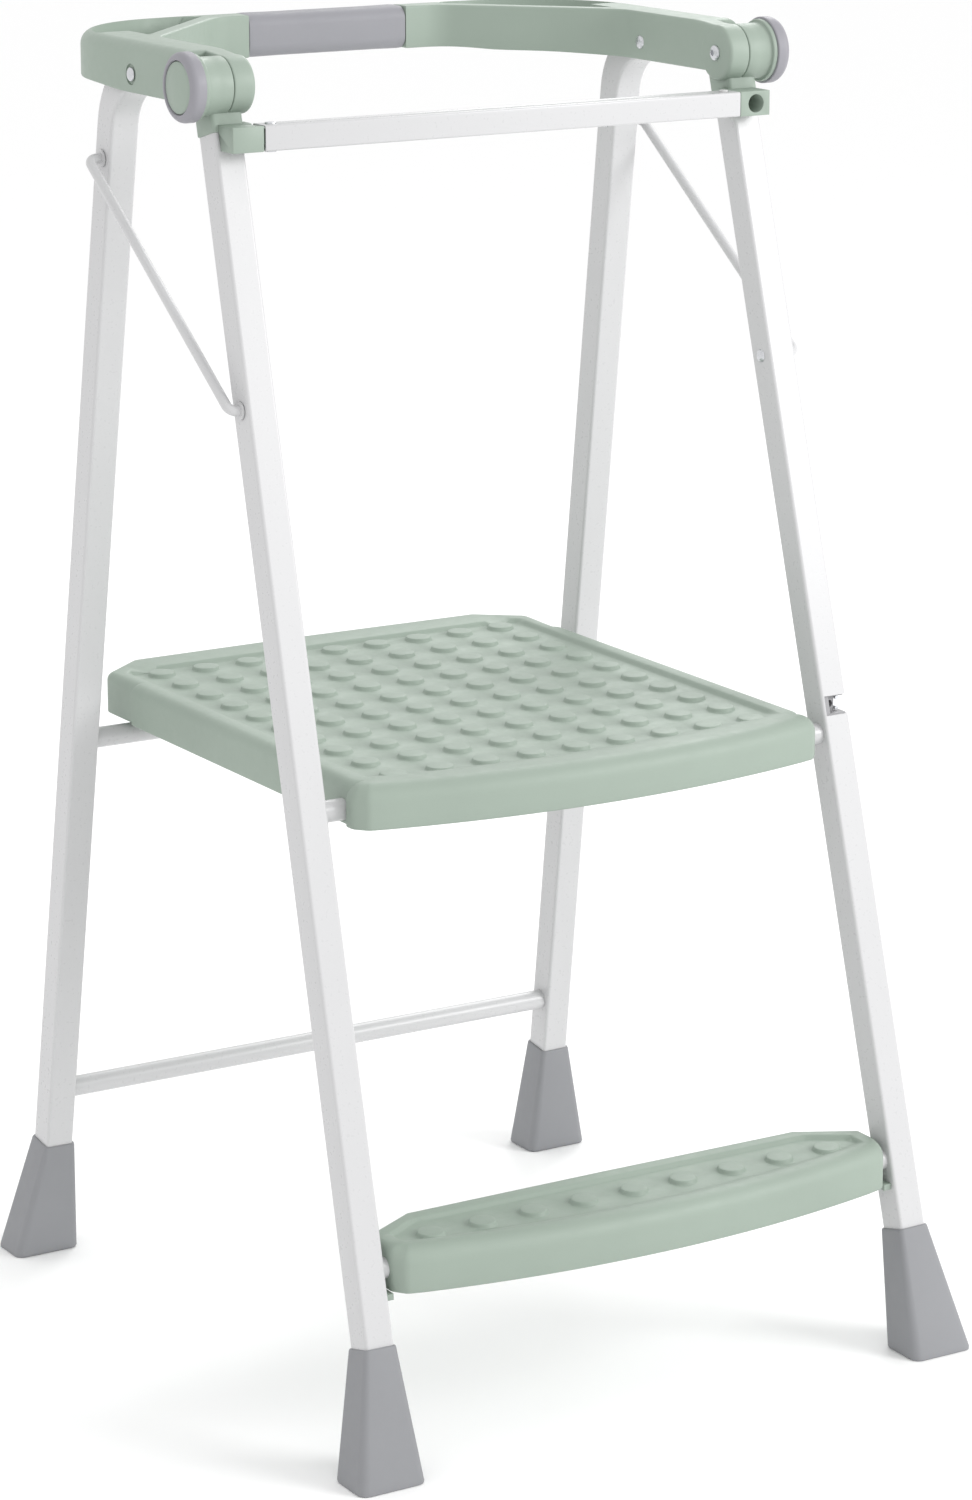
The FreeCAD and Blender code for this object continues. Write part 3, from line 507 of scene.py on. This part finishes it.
def cut(ob, cutters):
    """exact difference with closed meshes, applied"""
    for k, (v, f) in enumerate(cutters):
        me = bpy.data.meshes.new("cutter")
        me.from_pydata([tuple(q) for q in v], [], f)
        c = bpy.data.objects.new("cutter%d" % k, me)
        scene.collection.objects.link(c)
        clean(c)
        m = ob.modifiers.new("cut", "BOOLEAN")
        m.operation = "DIFFERENCE"
        m.solver = "EXACT"
        m.object = c
        bpy.context.view_layer.objects.active = ob
        dg = bpy.context.evaluated_depsgraph_get()
        new = bpy.data.meshes.new_from_object(ob.evaluated_get(dg))
        ob.modifiers.clear()
        old = ob.data
        ob.data = new
        bpy.data.objects.remove(c)
        shade(ob)


def mirror_x(vf):
    v, f = vf
    return [Vector((-p.x, p.y, p.z)) for p in v], [tuple(reversed(q)) for q in f]


# ------------------------------------------------------------------ platform
def half_to_full(right):
    """right-hand outline from the front centre to the rear centre, as a full CCW loop"""
    left = [(-x, y) for x, y in reversed(right) if x > 1e-6]
    return right + left


def bow(x, yc, hw, rise):
    R = (hw * hw + rise * rise) / (2 * rise)
    return yc + (R - math.sqrt(max(R * R - x * x, 0)))


DZ, DB = 447.0, 417.0
def deck_front(x):
    return bow(abs(x), -151.0, 170.3, 20.0)


fr = [(x, deck_front(x)) for x in range(0, 169, 12)]
right = fr + [(178.6, -128.6), (186.4, -119.5), (186.5, -111.6), (183.4, -109.4), (183.4, 204.5), (180.0, 208.0), (180.0, 250.5), (145.5, 277.6), (0.0, 280.0)]
full = half_to_full(right)
radii = []
for x, y in full:
    if y < deck_front(x) + 0.1:
        radii.append(4.0)
    elif abs(x) > 185 and y < -118:
        radii.append(9.0)
    elif 178 < abs(x) < 180 and y < -120:
        radii.append(9.0)
    elif abs(x) > 183 and y < -109:
        radii.append(1.3)
    elif abs(y - 204.5) < 1 or abs(y - 208) < 1:
        radii.append(2.2)
    elif y > 249:
        radii.append(9.0)
    else:
        radii.append(1.0)
deck_line = round_poly(full, radii, 6, 6.0)


def deck_edge(p):
    if p.y < -110.5:
        return 12.5
    if p.y < -104:
        return 12.5 - 4.5 * smooth01((p.y + 110.5) / 6.5)
    if p.y > 200:
        return 8.0 - 2.0 * smooth01((p.y - 200) / 50)
    return 8.0


STUD_R0, STUD_R1, STUD_H = 8.8, 10.6, 2.8
FLOOR = 3.4


def recess(x, y):
    w = 4.2
    g = smooth01((166.0 - abs(x)) / w + 0.5) * smooth01((246.5 - y) / w + 0.5)
    # rear corners
    d = ((167.0 - abs(x)) * 21.0 + (224.0 - y) * 33.0) / 39.1 + 14.6
    g *= smooth01(d / w + 0.5)
    D = y - deck_front(x)
    g *= smooth01((D - 34.0) / 22.0 + 0.5)
    return g


deck_studs = [(-144.0 + 36.0 * i, 232.0 - 37.0 * j) for i in range(9) for j in range(10)]


def stud_rise(x, y, studs, pitch_x, x0):
    best = 0.0
    for sx, sy in studs:
        dx, dy = x - sx, y - sy
        if abs(dx) > 12 or abs(dy) > 12:
            continue
        r = math.hypot(dx, dy)
        t = 1 - smooth01((r - STUD_R0) / (STUD_R1 - STUD_R0))
        dome = 0.35 * max(0.0, 1 - (r / STUD_R0) ** 2)
        best = max(best, (STUD_H + dome) * t)
    return best


def deck_z(x, y):
    base = DZ - FLOOR * recess(x, y)
    s = stud_rise(x, y, deck_studs, 36, -144)
    if s <= 0:
        return base
    top = DZ - FLOOR + s
    k = 0.25
    h = max(k - abs(base - top), 0) / k
    return max(base, top) + h * h * k * 0.25


def circle(cx, cy, r, n=22):
    return [(cx + r * math.cos(2 * math.pi * i / n), cy + r * math.sin(2 * math.pi * i / n)) for i in range(n)]


def line(p, q, step):
    d = math.hypot(q[0] - p[0], q[1] - p[1])
    k = max(1, int(d / step))
    return [(p[0] + (q[0] - p[0]) * i / k, p[1] + (q[1] - p[1]) * i / k) for i in range(k + 1)]


pl = []
for sx, sy in deck_studs:
    for r in (3.2, 6.4, 8.4, 8.95, 9.4, 9.85, 10.3, 10.75):
        pl.append((True, circle(sx, sy, r)))
for off in (-2.2, -1.1, 0.0, 1.1, 2.2):
    x_ = 166.0 + off
    y_ = 246.5 + off
    for s_ in (1, -1):
        pl.append((False, line((s_ * x_, -108.0), (s_ * x_, 232.0 + off), 6.0)))
    pl.append((False, line((-140.0, y_), (140.0, y_), 6.0)))
for k in range(9):
    D = 24.0 + 2.6 * k
    pl.append((False, [(x, deck_front(x) + D) for x in range(-160, 161, 4)]))
# rear corner ramps
for s_ in (1, -1):
    for off in (-2.4, -1.2, 0.0, 1.2, 2.4):
        c0 = (158.5 + off * 0.6 , 249.0 + off * 0.8)
        nx_, ny_ = 21 / 39.1, 33 / 39.1
        base = Vector((167.0, 224.0)) + Vector((nx_, ny_)) * (14.6 + off)
        t_ = Vector((33, -21)) / 39.1
        a_ = base - t_ * 16
        b_ = base + t_ * 4
        pl.append((False, [(s_ * q[0], q[1]) for q in line((a_.x, a_.y), (b_.x, b_.y), 3.0)]))
dv, df = relief(deck_line, DZ, DB, deck_edge, deck_z, pl, 1.4, 3.2, DZ - 7.0, reach=14.0)
parts = [(dv, df)]
for x_ in (-120, -60, 0, 60, 120):
    parts.append(boxm(x_ - 1.3, x_ + 1.3, -80, 215, DZ - 12, DZ - 6.5))
for y_ in (-10, 60, 130, 200):
    parts.append(boxm(-181.0, 181.0, y_ - 1.3, y_ + 1.3, DZ - 12, DZ - 6.5))
v_, f_ = join_meshes(parts)
deck = make("platform_moulding", v_, f_, MAT_SAGE_TREAD, "platform", ("platform_deck",), sharp=50)

# ------------------------------------------------------------------ lower step
SZ, SB = 151.0, 119.5
def step_front(x):
    return bow(abs(x), -224.0, 186.1, 21.0)


fr = [(x, step_front(x)) for x in range(0, 185, 12)]
right = fr + [(193.5, -200.5), (200.4, -191.0), (200.5, -161.5), (158.5, -138.4), (0.0, -137.5)]
full = half_to_full(right)
radii = []
for x, y in full:
    if y < step_front(x) + 0.1:
        radii.append(4.0)
    elif y < -185:
        radii.append(9.0)
    else:
        radii.append(3.0)
step_line = round_poly(full, radii, 6, 6.0)


def step_edge(p):
    front = smooth01((-178.0 - p.y) / 20.0)
    return 4.0 + 8.0 * front


def step_recess(x, y):
    w = 3.6
    g = smooth01((187.0 - abs(x)) / w + 0.5) * smooth01((-152.0 - y) / w + 0.5)
    t = ((186.0 - abs(x)) * 19.0 + (-171.0 - y) * 31.0) / 36.4 + 3.0
    g *= smooth01(t / w + 0.5)
    g *= smooth01((y - step_front(x) - 21.0) / 13.0 + 0.5)
    return g


step_studs = [(-161.2 + 40.3 * i, -177.0) for i in range(9)]


def step_z(x, y):
    base = SZ - FLOOR * step_recess(x, y)
    s = stud_rise(x, y, step_studs, 40.3, -161.2)
    if s <= 0:
        return base
    top = SZ - FLOOR + s
    k = 0.25
    h = max(k - abs(base - top), 0) / k
    return max(base, top) + h * h * k * 0.25


pl = []
for sx, sy in step_studs:
    for r in (3.2, 6.4, 8.4, 8.95, 9.4, 9.85, 10.3, 10.75):
        pl.append((True, circle(sx, sy, r, 28)))
for off in (-1.9, -0.95, 0.0, 0.95, 1.9):
    pl.append((False, line((-152.0, -152.0 + off), (152.0, -152.0 + off), 6.0)))
    for s_ in (1, -1):
        pl.append((False, line((s_ * (187.0 + off), -188.0), (s_ * (187.0 + off), -174.0), 3.0)))
        nx_, ny_ = 19 / 36.4, 31 / 36.4
        base = Vector((186.0, -171.0)) + Vector((nx_, ny_)) * (3.0 + off)
        t_ = Vector((31, -19)) / 36.4
        a_, b_ = base - t_ * 36, base + t_ * 1.0
        pl.append((False, [(s_ * q[0], q[1]) for q in line((a_.x, a_.y), (b_.x, b_.y), 3.0)]))
for k in range(7):
    D = 14.6 + 2.1 * k
    pl.append((False, [(x, step_front(x) + D) for x in range(-176, 177, 4)]))
sv, sf = relief(step_line, SZ, SB, step_edge, step_z, pl, 1.4, 3.2, SZ - 7.0, reach=12.0)
step = make("lower_step_moulding", sv, sf, MAT_SAGE_TREAD, "front_frame", ("lower_step",), sharp=50)

# ------------------------------------------------------------------ handrail
RZ0, RZ1 = 880.0, 914.3
XI, XO, YI = 187.5, 220.5, 134.0
CX, CY, CR = 125.5, 165.0, 95.0
GX, GY0 = 64.5, 233.5
X2 = 92.0
HY, HZ, HR = 16.5, 893.3, 19.3


def rail_outline():
    """right-hand arm and corner, CCW: outer side, corner, rear, grip end, inner side, hub end"""
    pts = []
    for y in range(0, 127, 7):
        pts.append(Vector((XO, 38.0 + y)))
    for i in range(1, 25):
        a = math.radians(90.0 * i / 24)
        pts.append(Vector((CX + CR * math.cos(a), CY + CR * math.sin(a))))
    for x in range(1, 9):
        pts.append(Vector((CX - (CX - GX) * x / 8.0, CY + CR)))
    pts.append(Vector((GX, GY0)))
    # inner wall with soft corners
    inner = [Vector((GX, GY0)), Vector((X2, GY0)), Vector((XI, YI)), Vector((XI, HY + 1))]
    a, b, c, d = inner
    def soft(p0, p, p1, t, seg=6):
        u0, u1 = (p0 - p).normalized() * t, (p1 - p).normalized() * t
        return [(p + u0) * (1 - k / seg) ** 2 + p * 2 * (k / seg) * (1 - k / seg) + (p + u1) * (k / seg) ** 2 for k in range(seg + 1)]
    pts += soft(a, b, c, 12)
    e = soft(b, c, d, 11)
    s0, s1 = pts[-1], e[0]
    for k in range(1, 12):
        pts.append(s0 + (s1 - s0) * (k / 12.0))
    pts += e
    for k in range(1, 17):
        pts.append(e[-1] * (1 - k / 16.0) + d * (k / 16.0))
    pts.append(Vector((203.2, HY + 1)))
    pts.append(Vector((203.2, 38.0)))
    return pts


ro = rail_outline()


def rail_edge(p):
    if p.x > XO - 0.1:
        return 9.0 * smooth01((p.y - 34.0) / 6.0) + 0.8
    d = math.hypot(p.x - CX, p.y - CY)
    if p.y > CY - 0.5 and d > CR - 0.6:
        return 9.8
    if p.y > CY + CR - 0.6:
        return 9.0
    if p.x < 190 and p.y < 60:
        return 1.4 + 1.4 * smooth01((52.0 - p.y) / 20.0)
    return 1.4


ang = math.atan2(GY0 - YI, X2 - XI)
ndx, ndy = math.sin(ang), -math.cos(ang)
if ndx < 0:
    ndx, ndy = -ndx, -ndy


def wall_dist(x, y):
    """distance behind the diagonal inner wall"""
    return (x - XI) * ndx + (y - YI) * ndy


def pocket(x, y):
    g = smooth01((wall_dist(x, y) - 11.0) / 1.6 + 0.5)
    g *= smooth01((CR - 8.6 - math.hypot(x - CX, y - CY)) / 2.2 + 0.5)
    g *= 1.0 - smooth01((x - 185.5) / 2.0) * smooth01((181.5 - y) / 3.0)
    return g


def rail_z(x, y):
    return RZ1 - 10.5 * pocket(x, y) - 1.78 * smooth01((45.0 - y) / 27.0)


def rail_turn(p, d):
    return Vector((0.0, -1.0)) if p.x < GX + 0.1 and p.y > 250 else d


pl = []
tdx, tdy = -ndy, ndx
for off in (-0.9, -0.4, 0.0, 0.4, 0.9):
    p0 = Vector((XI, YI)) + Vector((ndx, ndy)) * (11.0 + off)
    q = [p0 + Vector((tdx, tdy)) * s for s in [x * 3.0 for x in range(-30, 90)]]
    seg_ = [(p.x, p.y) for p in q if math.hypot(p.x - CX, p.y - CY) < CR - 7.6]
    if len(seg_) > 1:
        pl.append((False, seg_))
for off in (-1.3, -0.8, -0.3, 0.3, 0.8, 1.3):
    rr_ = CR - 8.6 + off
    q = []
    for i in range(-30, 130, 2):
        a = math.radians(i)
        p = (CX + rr_ * math.cos(a), CY + rr_ * math.sin(a))
        if wall_dist(*p) > 10.0:
            q.append(p)
    if len(q) > 1 and off < 0.9:
        pl.append((False, q))
for y_ in (22.0, 27.0, 32.0, 37.0, 42.0, 47.0):
    pl.append((False, [(191.5, y_), (202.0, y_)]))
for q in ([(185.2, y_) for y_ in range(150, 184, 3)], [(187.8, y_) for y_ in range(150, 184, 3)],
          [(x_, 178.2) for x_ in range(183, 206, 2)], [(x_, 181.8) for x_ in range(183, 206, 2)]):
    pl.append((False, q))
rv, rf = relief(ro, RZ1, RZ0, rail_edge, rail_z, pl, 1.6, turn=rail_turn)
for v in rv:
    y_, z_ = v.y * 1000 + SHIFT, v.z * 1000
    if z_ < 897.0:
        up = 2.6 * smooth01((y_ - 122.0) / 60.0) + 1.4 * smooth01((126.0 - v.x * 1000) / 24.0)
        v.z += 0.001 * up * (897.0 - z_) / 17.0
arm_channel = boxm(190.6, 217.4, 96.0, 176.0, 850, 909.5)
cell = loft([[mm(x, y, z) for x, y in ((174, 153.5), (186.4, 140.5), (186.4, 190), (160, 222), (124, 243), (100, 243), (100, 240))] for z in (860, 898)])
hub_room = lathe_x([(203.2, 0), (203.2, 22.4), (240.0, 22.4), (240.0, 0)], HY, HZ, 64)
rec_disc = lathe_x([(219.3, 0), (219.3, 7.2), (225, 7.2), (225, 0)], 112.6, 892.5, 32)


def rounded_half(sx):
    """hub half of the handrail: round, next to the seam"""
    prof = [(187.3, 0.0), (187.3, 16.5)] + arc_pts(190.1, 16.5, 2.8, 180, 90, 6)[1:] + [(195.0, 19.3), (201.8, 19.3)] + arc_pts(202.2, 18.3, 1.0, 90, 0, 4)[1:] + [(203.2, 0.0)]
    return lathe_x(prof, HY, HZ, 96, sx)


for side, sx in (("right", 1.0), ("left", -1.0)):
    shell_vf = (rv, rf) if sx > 0 else mirror_x((rv, rf))
    ob = make("handrail_arm_" + side, shell_vf[0], shell_vf[1], MAT_SAGE, "handrail", ("rail_shell_" + side,), sharp=40)
    cutters = [arm_channel, cell, hub_room, rec_disc]
    if sx < 0:
        cutters = [mirror_x(c) for c in cutters]
    ob.parent = None
    cut(ob, cutters)
    shade(ob, 40)
    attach(ob, "handrail")
    hv, hf = rounded_half(sx)
    h = make("handrail_hub_" + side, hv, hf, MAT_SAGE, "handrail", (), sharp=40)

# grip: soft overmould between two thin seams
gw, gh = 27.0, 30.2
gy, gz = 247.0, 899.1
rings = []
prof = [(-64.1, -1.6), (-64.1, -0.5), (-63.6, 0.0), (-60, 0.25), (-40, 0.0), (-12, 0.0), (12, 0.0), (40, 0.0), (60, 0.25), (63.6, 0.0), (64.1, -0.5), (64.1, -1.6)]
for x, o in prof:
    r = []
    for px, pz in rrect_pts(gw + 2 * o, gh + 2 * o, 8.6 + o, 8):
        r.append(mm(x, gy + px, gz + pz))
    rings.append(r)
gv, gf = loft(rings)
make("rear_grip", gv, gf, MAT_LILAC, "handrail", ("rail_grip",), sharp=40, extra_mats=(MAT_DARK,),
     fmat=[1 if min(abs(gv[i].x) for i in q) > 0.06375 else 0 for q in gf])

# ------------------------------------------------------------------ hubs
for side, sx in (("right", 1.0), ("left", -1.0)):
    prof = [(203.6, 0.0), (203.6, 18.3)] + arc_pts(204.6, 18.3, 1.0, 180, 90, 4)[1:] + [(212.0, 19.3), (221.4, 19.3)]
    prof += [(221.9, 19.6), (222.2, 20.2)] + arc_pts(223.4, 20.4, 1.3, 170, 90, 4) + [(225.2, 21.7), (225.4, 21.3), (225.4, 0.0)]
    hv, hf = lathe_x(prof, HY, HZ, 96, sx)
    make("hub_housing_" + side, hv, hf, MAT_SAGE, "front_frame", ("hub_bracket_" + side,), sharp=40)
    # socket that holds the leg top
    rings = []
    o = Vector((218.5, -218.5, 0.0))
    dvec = Vector((-0.0165, 0.2727, 1.0))
    dn = dvec.normalized()
    sd = Vector((1, 0, 0)); sd = (sd - dn * sd.dot(dn)).normalized()
    nr = dn.cross(sd).normalized()
    for z, g in ((861.0, -0.5), (861.3, 0.0), (862.0, 0.2), (884.0, 0.2)):
        c = o + dvec * z
        r = []
        for a_, b_ in rrect_pts(23.1 + 2 * g, 24.3 + 2 * g, 2.9, 5):
            p = c + sd * a_ + nr * b_
            r.append(mm(sx * p.x, p.y, p.z))
        rings.append(r if sx > 0 else list(reversed(r)))
    sv_, sf_ = loft(rings)
    st = make("leg_socket_" + side, sv_, sf_, MAT_SAGE, "front_frame", (), sharp=40)
    bz = [(225.5, 17.6), (225.5, 22.4)] + arc_pts(226.4, 22.3, 0.9, 180, 90, 3)[1:] + [(231.0, 23.2)] + arc_pts(231.2, 18.2, 5.0, 90, 12, 8) + [(236.2, 18.6), (236.0, 18.1), (235.3, 17.75), (234.6, 17.65), (229.0, 17.6), (225.5, 17.6)]
    bv, bf = lathe_x(bz, HY, HZ, 96, sx)
    make("hub_ring_" + side, bv, bf, MAT_RING, "front_frame", ("hub_bezel_" + side,), sharp=40)
    dc = [(229.0, 0.0), (229.0, 17.25), (234.7, 17.25)] + arc_pts(234.7, 16.45, 0.8, 90, 20, 4)[1:] + [(235.75, 13.6), (236.2, 11.0), (236.6, 7.0), (236.8, 3.0), (236.85, 0.0)]
    bv, bf = lathe_x(dc, HY, HZ, 96, sx)
    make("hub_push_" + side + "_cap", bv, bf, MAT_SAGE, "hub_push_" + side, ("hub_button_" + side,), sharp=40)

# ------------------------------------------------------------------ feet
def boot(name, x0, xs, y0, ys, top_z, bx0, bx1, by0, by1, body, rep, sx):
    d = Vector((xs, ys, 1.0)); dn = d.normalized()
    sd = Vector((1, 0, 0)); sd = (sd - dn * sd.dot(dn)).normalized()
    nr = dn.cross(sd).normalized()
    c1 = Vector((x0, y0, 0)) + d * top_z
    tw, th = 24.4, 25.6
    top = [c1 + sd * a + nr * b for a, b in rrect_pts(tw, th, 3.6, 8)]
    bw, bh = bx1 - bx0, by1 - by0
    bc = Vector(((bx0 + bx1) / 2, (by0 + by1) / 2, 0))
    bot = [bc + Vector((a, b, 0)) for a, b in rrect_pts(bw, bh, 7.0, 8)]
    rings = []
    def lerp(t):
        return [p * (1 - t) + q * t for p, q in zip(bot, top)]
    def shrink(ring, k):
        c = sum(ring, Vector()) / len(ring)
        return [p - (p - c).normalized() * k for p in ring]
    # sole edge
    b0 = shrink(bot, 2.4)
    rings.append(b0)
    r1 = shrink(bot, 0.8); rings.append([Vector((p.x, p.y, 0.4)) for p in r1])
    r2 = lerp(0.02); rings.append(r2)
    for t in (0.05, 0.15, 0.35, 0.6, 0.85, 0.955):
        rings.append(lerp(t))
    rings.append(lerp(0.985))
    rings.append(shrink(lerp(0.997), 0.35))
    rings.append(shrink(top, 1.0))
    inner = [c1 + sd * a + nr * b for a, b in rrect_pts(21.6, 22.8, 2.2, 8)]
    rings.append([p for p in inner])
    deep = [p - dn * 5.0 for p in inner]
    rings.append(deep)
    out = []
    for r in rings:
        q = [mm(sx * p.x, p.y, p.z) for p in r]
        out.append(q if sx > 0 else list(reversed(q)))
    v, f = loft(out)
    return make(name, v, f, MAT_BOOT, body, (rep,), sharp=50)


for side, sx in (("right", 1.0), ("left", -1.0)):
    boot("front_boot_" + side, 218.5, -0.0165, -218.5, 0.2727, 86.0, 199.0, 250.0, -237.0, -199.0, "front_frame", "front_foot_" + side, sx)
    boot("rear_boot_" + side, 218.95, -0.0168, 292.1, -0.1496, 88.0, 199.8, 251.2, 275.0, 312.0, "rear_frame", "rear_foot_" + side, sx)

# ------------------------------------------------------------------ edges of the carried-over pieces
for n in ("gate_latch_block", "gate_hinge_block", "gate_bar"):
    ob = NODES[n]
    w = ob.modifiers.new("weld", "WELD")
    w.merge_threshold = 1e-6
    bevel(ob, 0.7 if n.startswith("gate") else 0.35, 2, 50.0)
for n, ob in NODES.items():
    if not ob.hide_render:
        for p in ob.data.polygons:
            p.use_smooth = True

# ------------------------------------------------------------------ stage, light, camera
fm, nt, b = new_mat("floor_paper")
b.inputs["Base Color"].default_value = (0.95, 0.95, 0.95, 1)
b.inputs["Roughness"].default_value = 0.9
co = tex_coord(nt)
bump(nt, b, noise(nt, co, 300.0, 2.0), 0.03, 0.0003)
me = bpy.data.meshes.new("floor")
me.from_pydata([(-30, -30, 0), (30, -30, 0), (30, 30, 0), (-30, 30, 0)], [], [(0, 1, 2, 3)])
floor = bpy.data.objects.new("floor", me)
me.materials.append(fm)
scene.collection.objects.link(floor)

world = bpy.data.worlds.new("studio")
scene.world = world
world.use_nodes = True
world.node_tree.nodes["Background"].inputs["Color"].default_value = (1, 1, 1, 1)
world.node_tree.nodes["Background"].inputs["Strength"].default_value = 1.04


def area(name, loc, aim, size, power, sy=None):
    l = bpy.data.lights.new(name, "AREA")
    l.shape = "RECTANGLE"
    l.size = size
    l.size_y = sy or size
    l.energy = power
    o = bpy.data.objects.new(name, l)
    o.location = loc
    o.rotation_mode = "QUATERNION"
    o.rotation_quaternion = (Vector(aim) - Vector(loc)).to_track_quat("-Z", "Y")
    scene.collection.objects.link(o)
    return o


area("key", (2.0, -2.3, 1.9), (0, 0, 0.5), 1.4, 52)
area("back", (1.9, 1.9, 2.4), (0, 0, 0.45), 1.3, 24)

cam = bpy.data.cameras.new("camera")
cam.sensor_width = 36.0
cam.lens = 109.512
cam.clip_start = 0.05
cam.clip_end = 200.0
co_ = bpy.data.objects.new("camera", cam)
scene.collection.objects.link(co_)
co_.location = (-1.6181, -2.6727, 1.2241)
co_.rotation_mode = "QUATERNION"
tgt = Vector((-0.01025, -0.0375, 0.4211))
co_.rotation_quaternion = (tgt - co_.location).to_track_quat("-Z", "Y")
scene.camera = co_
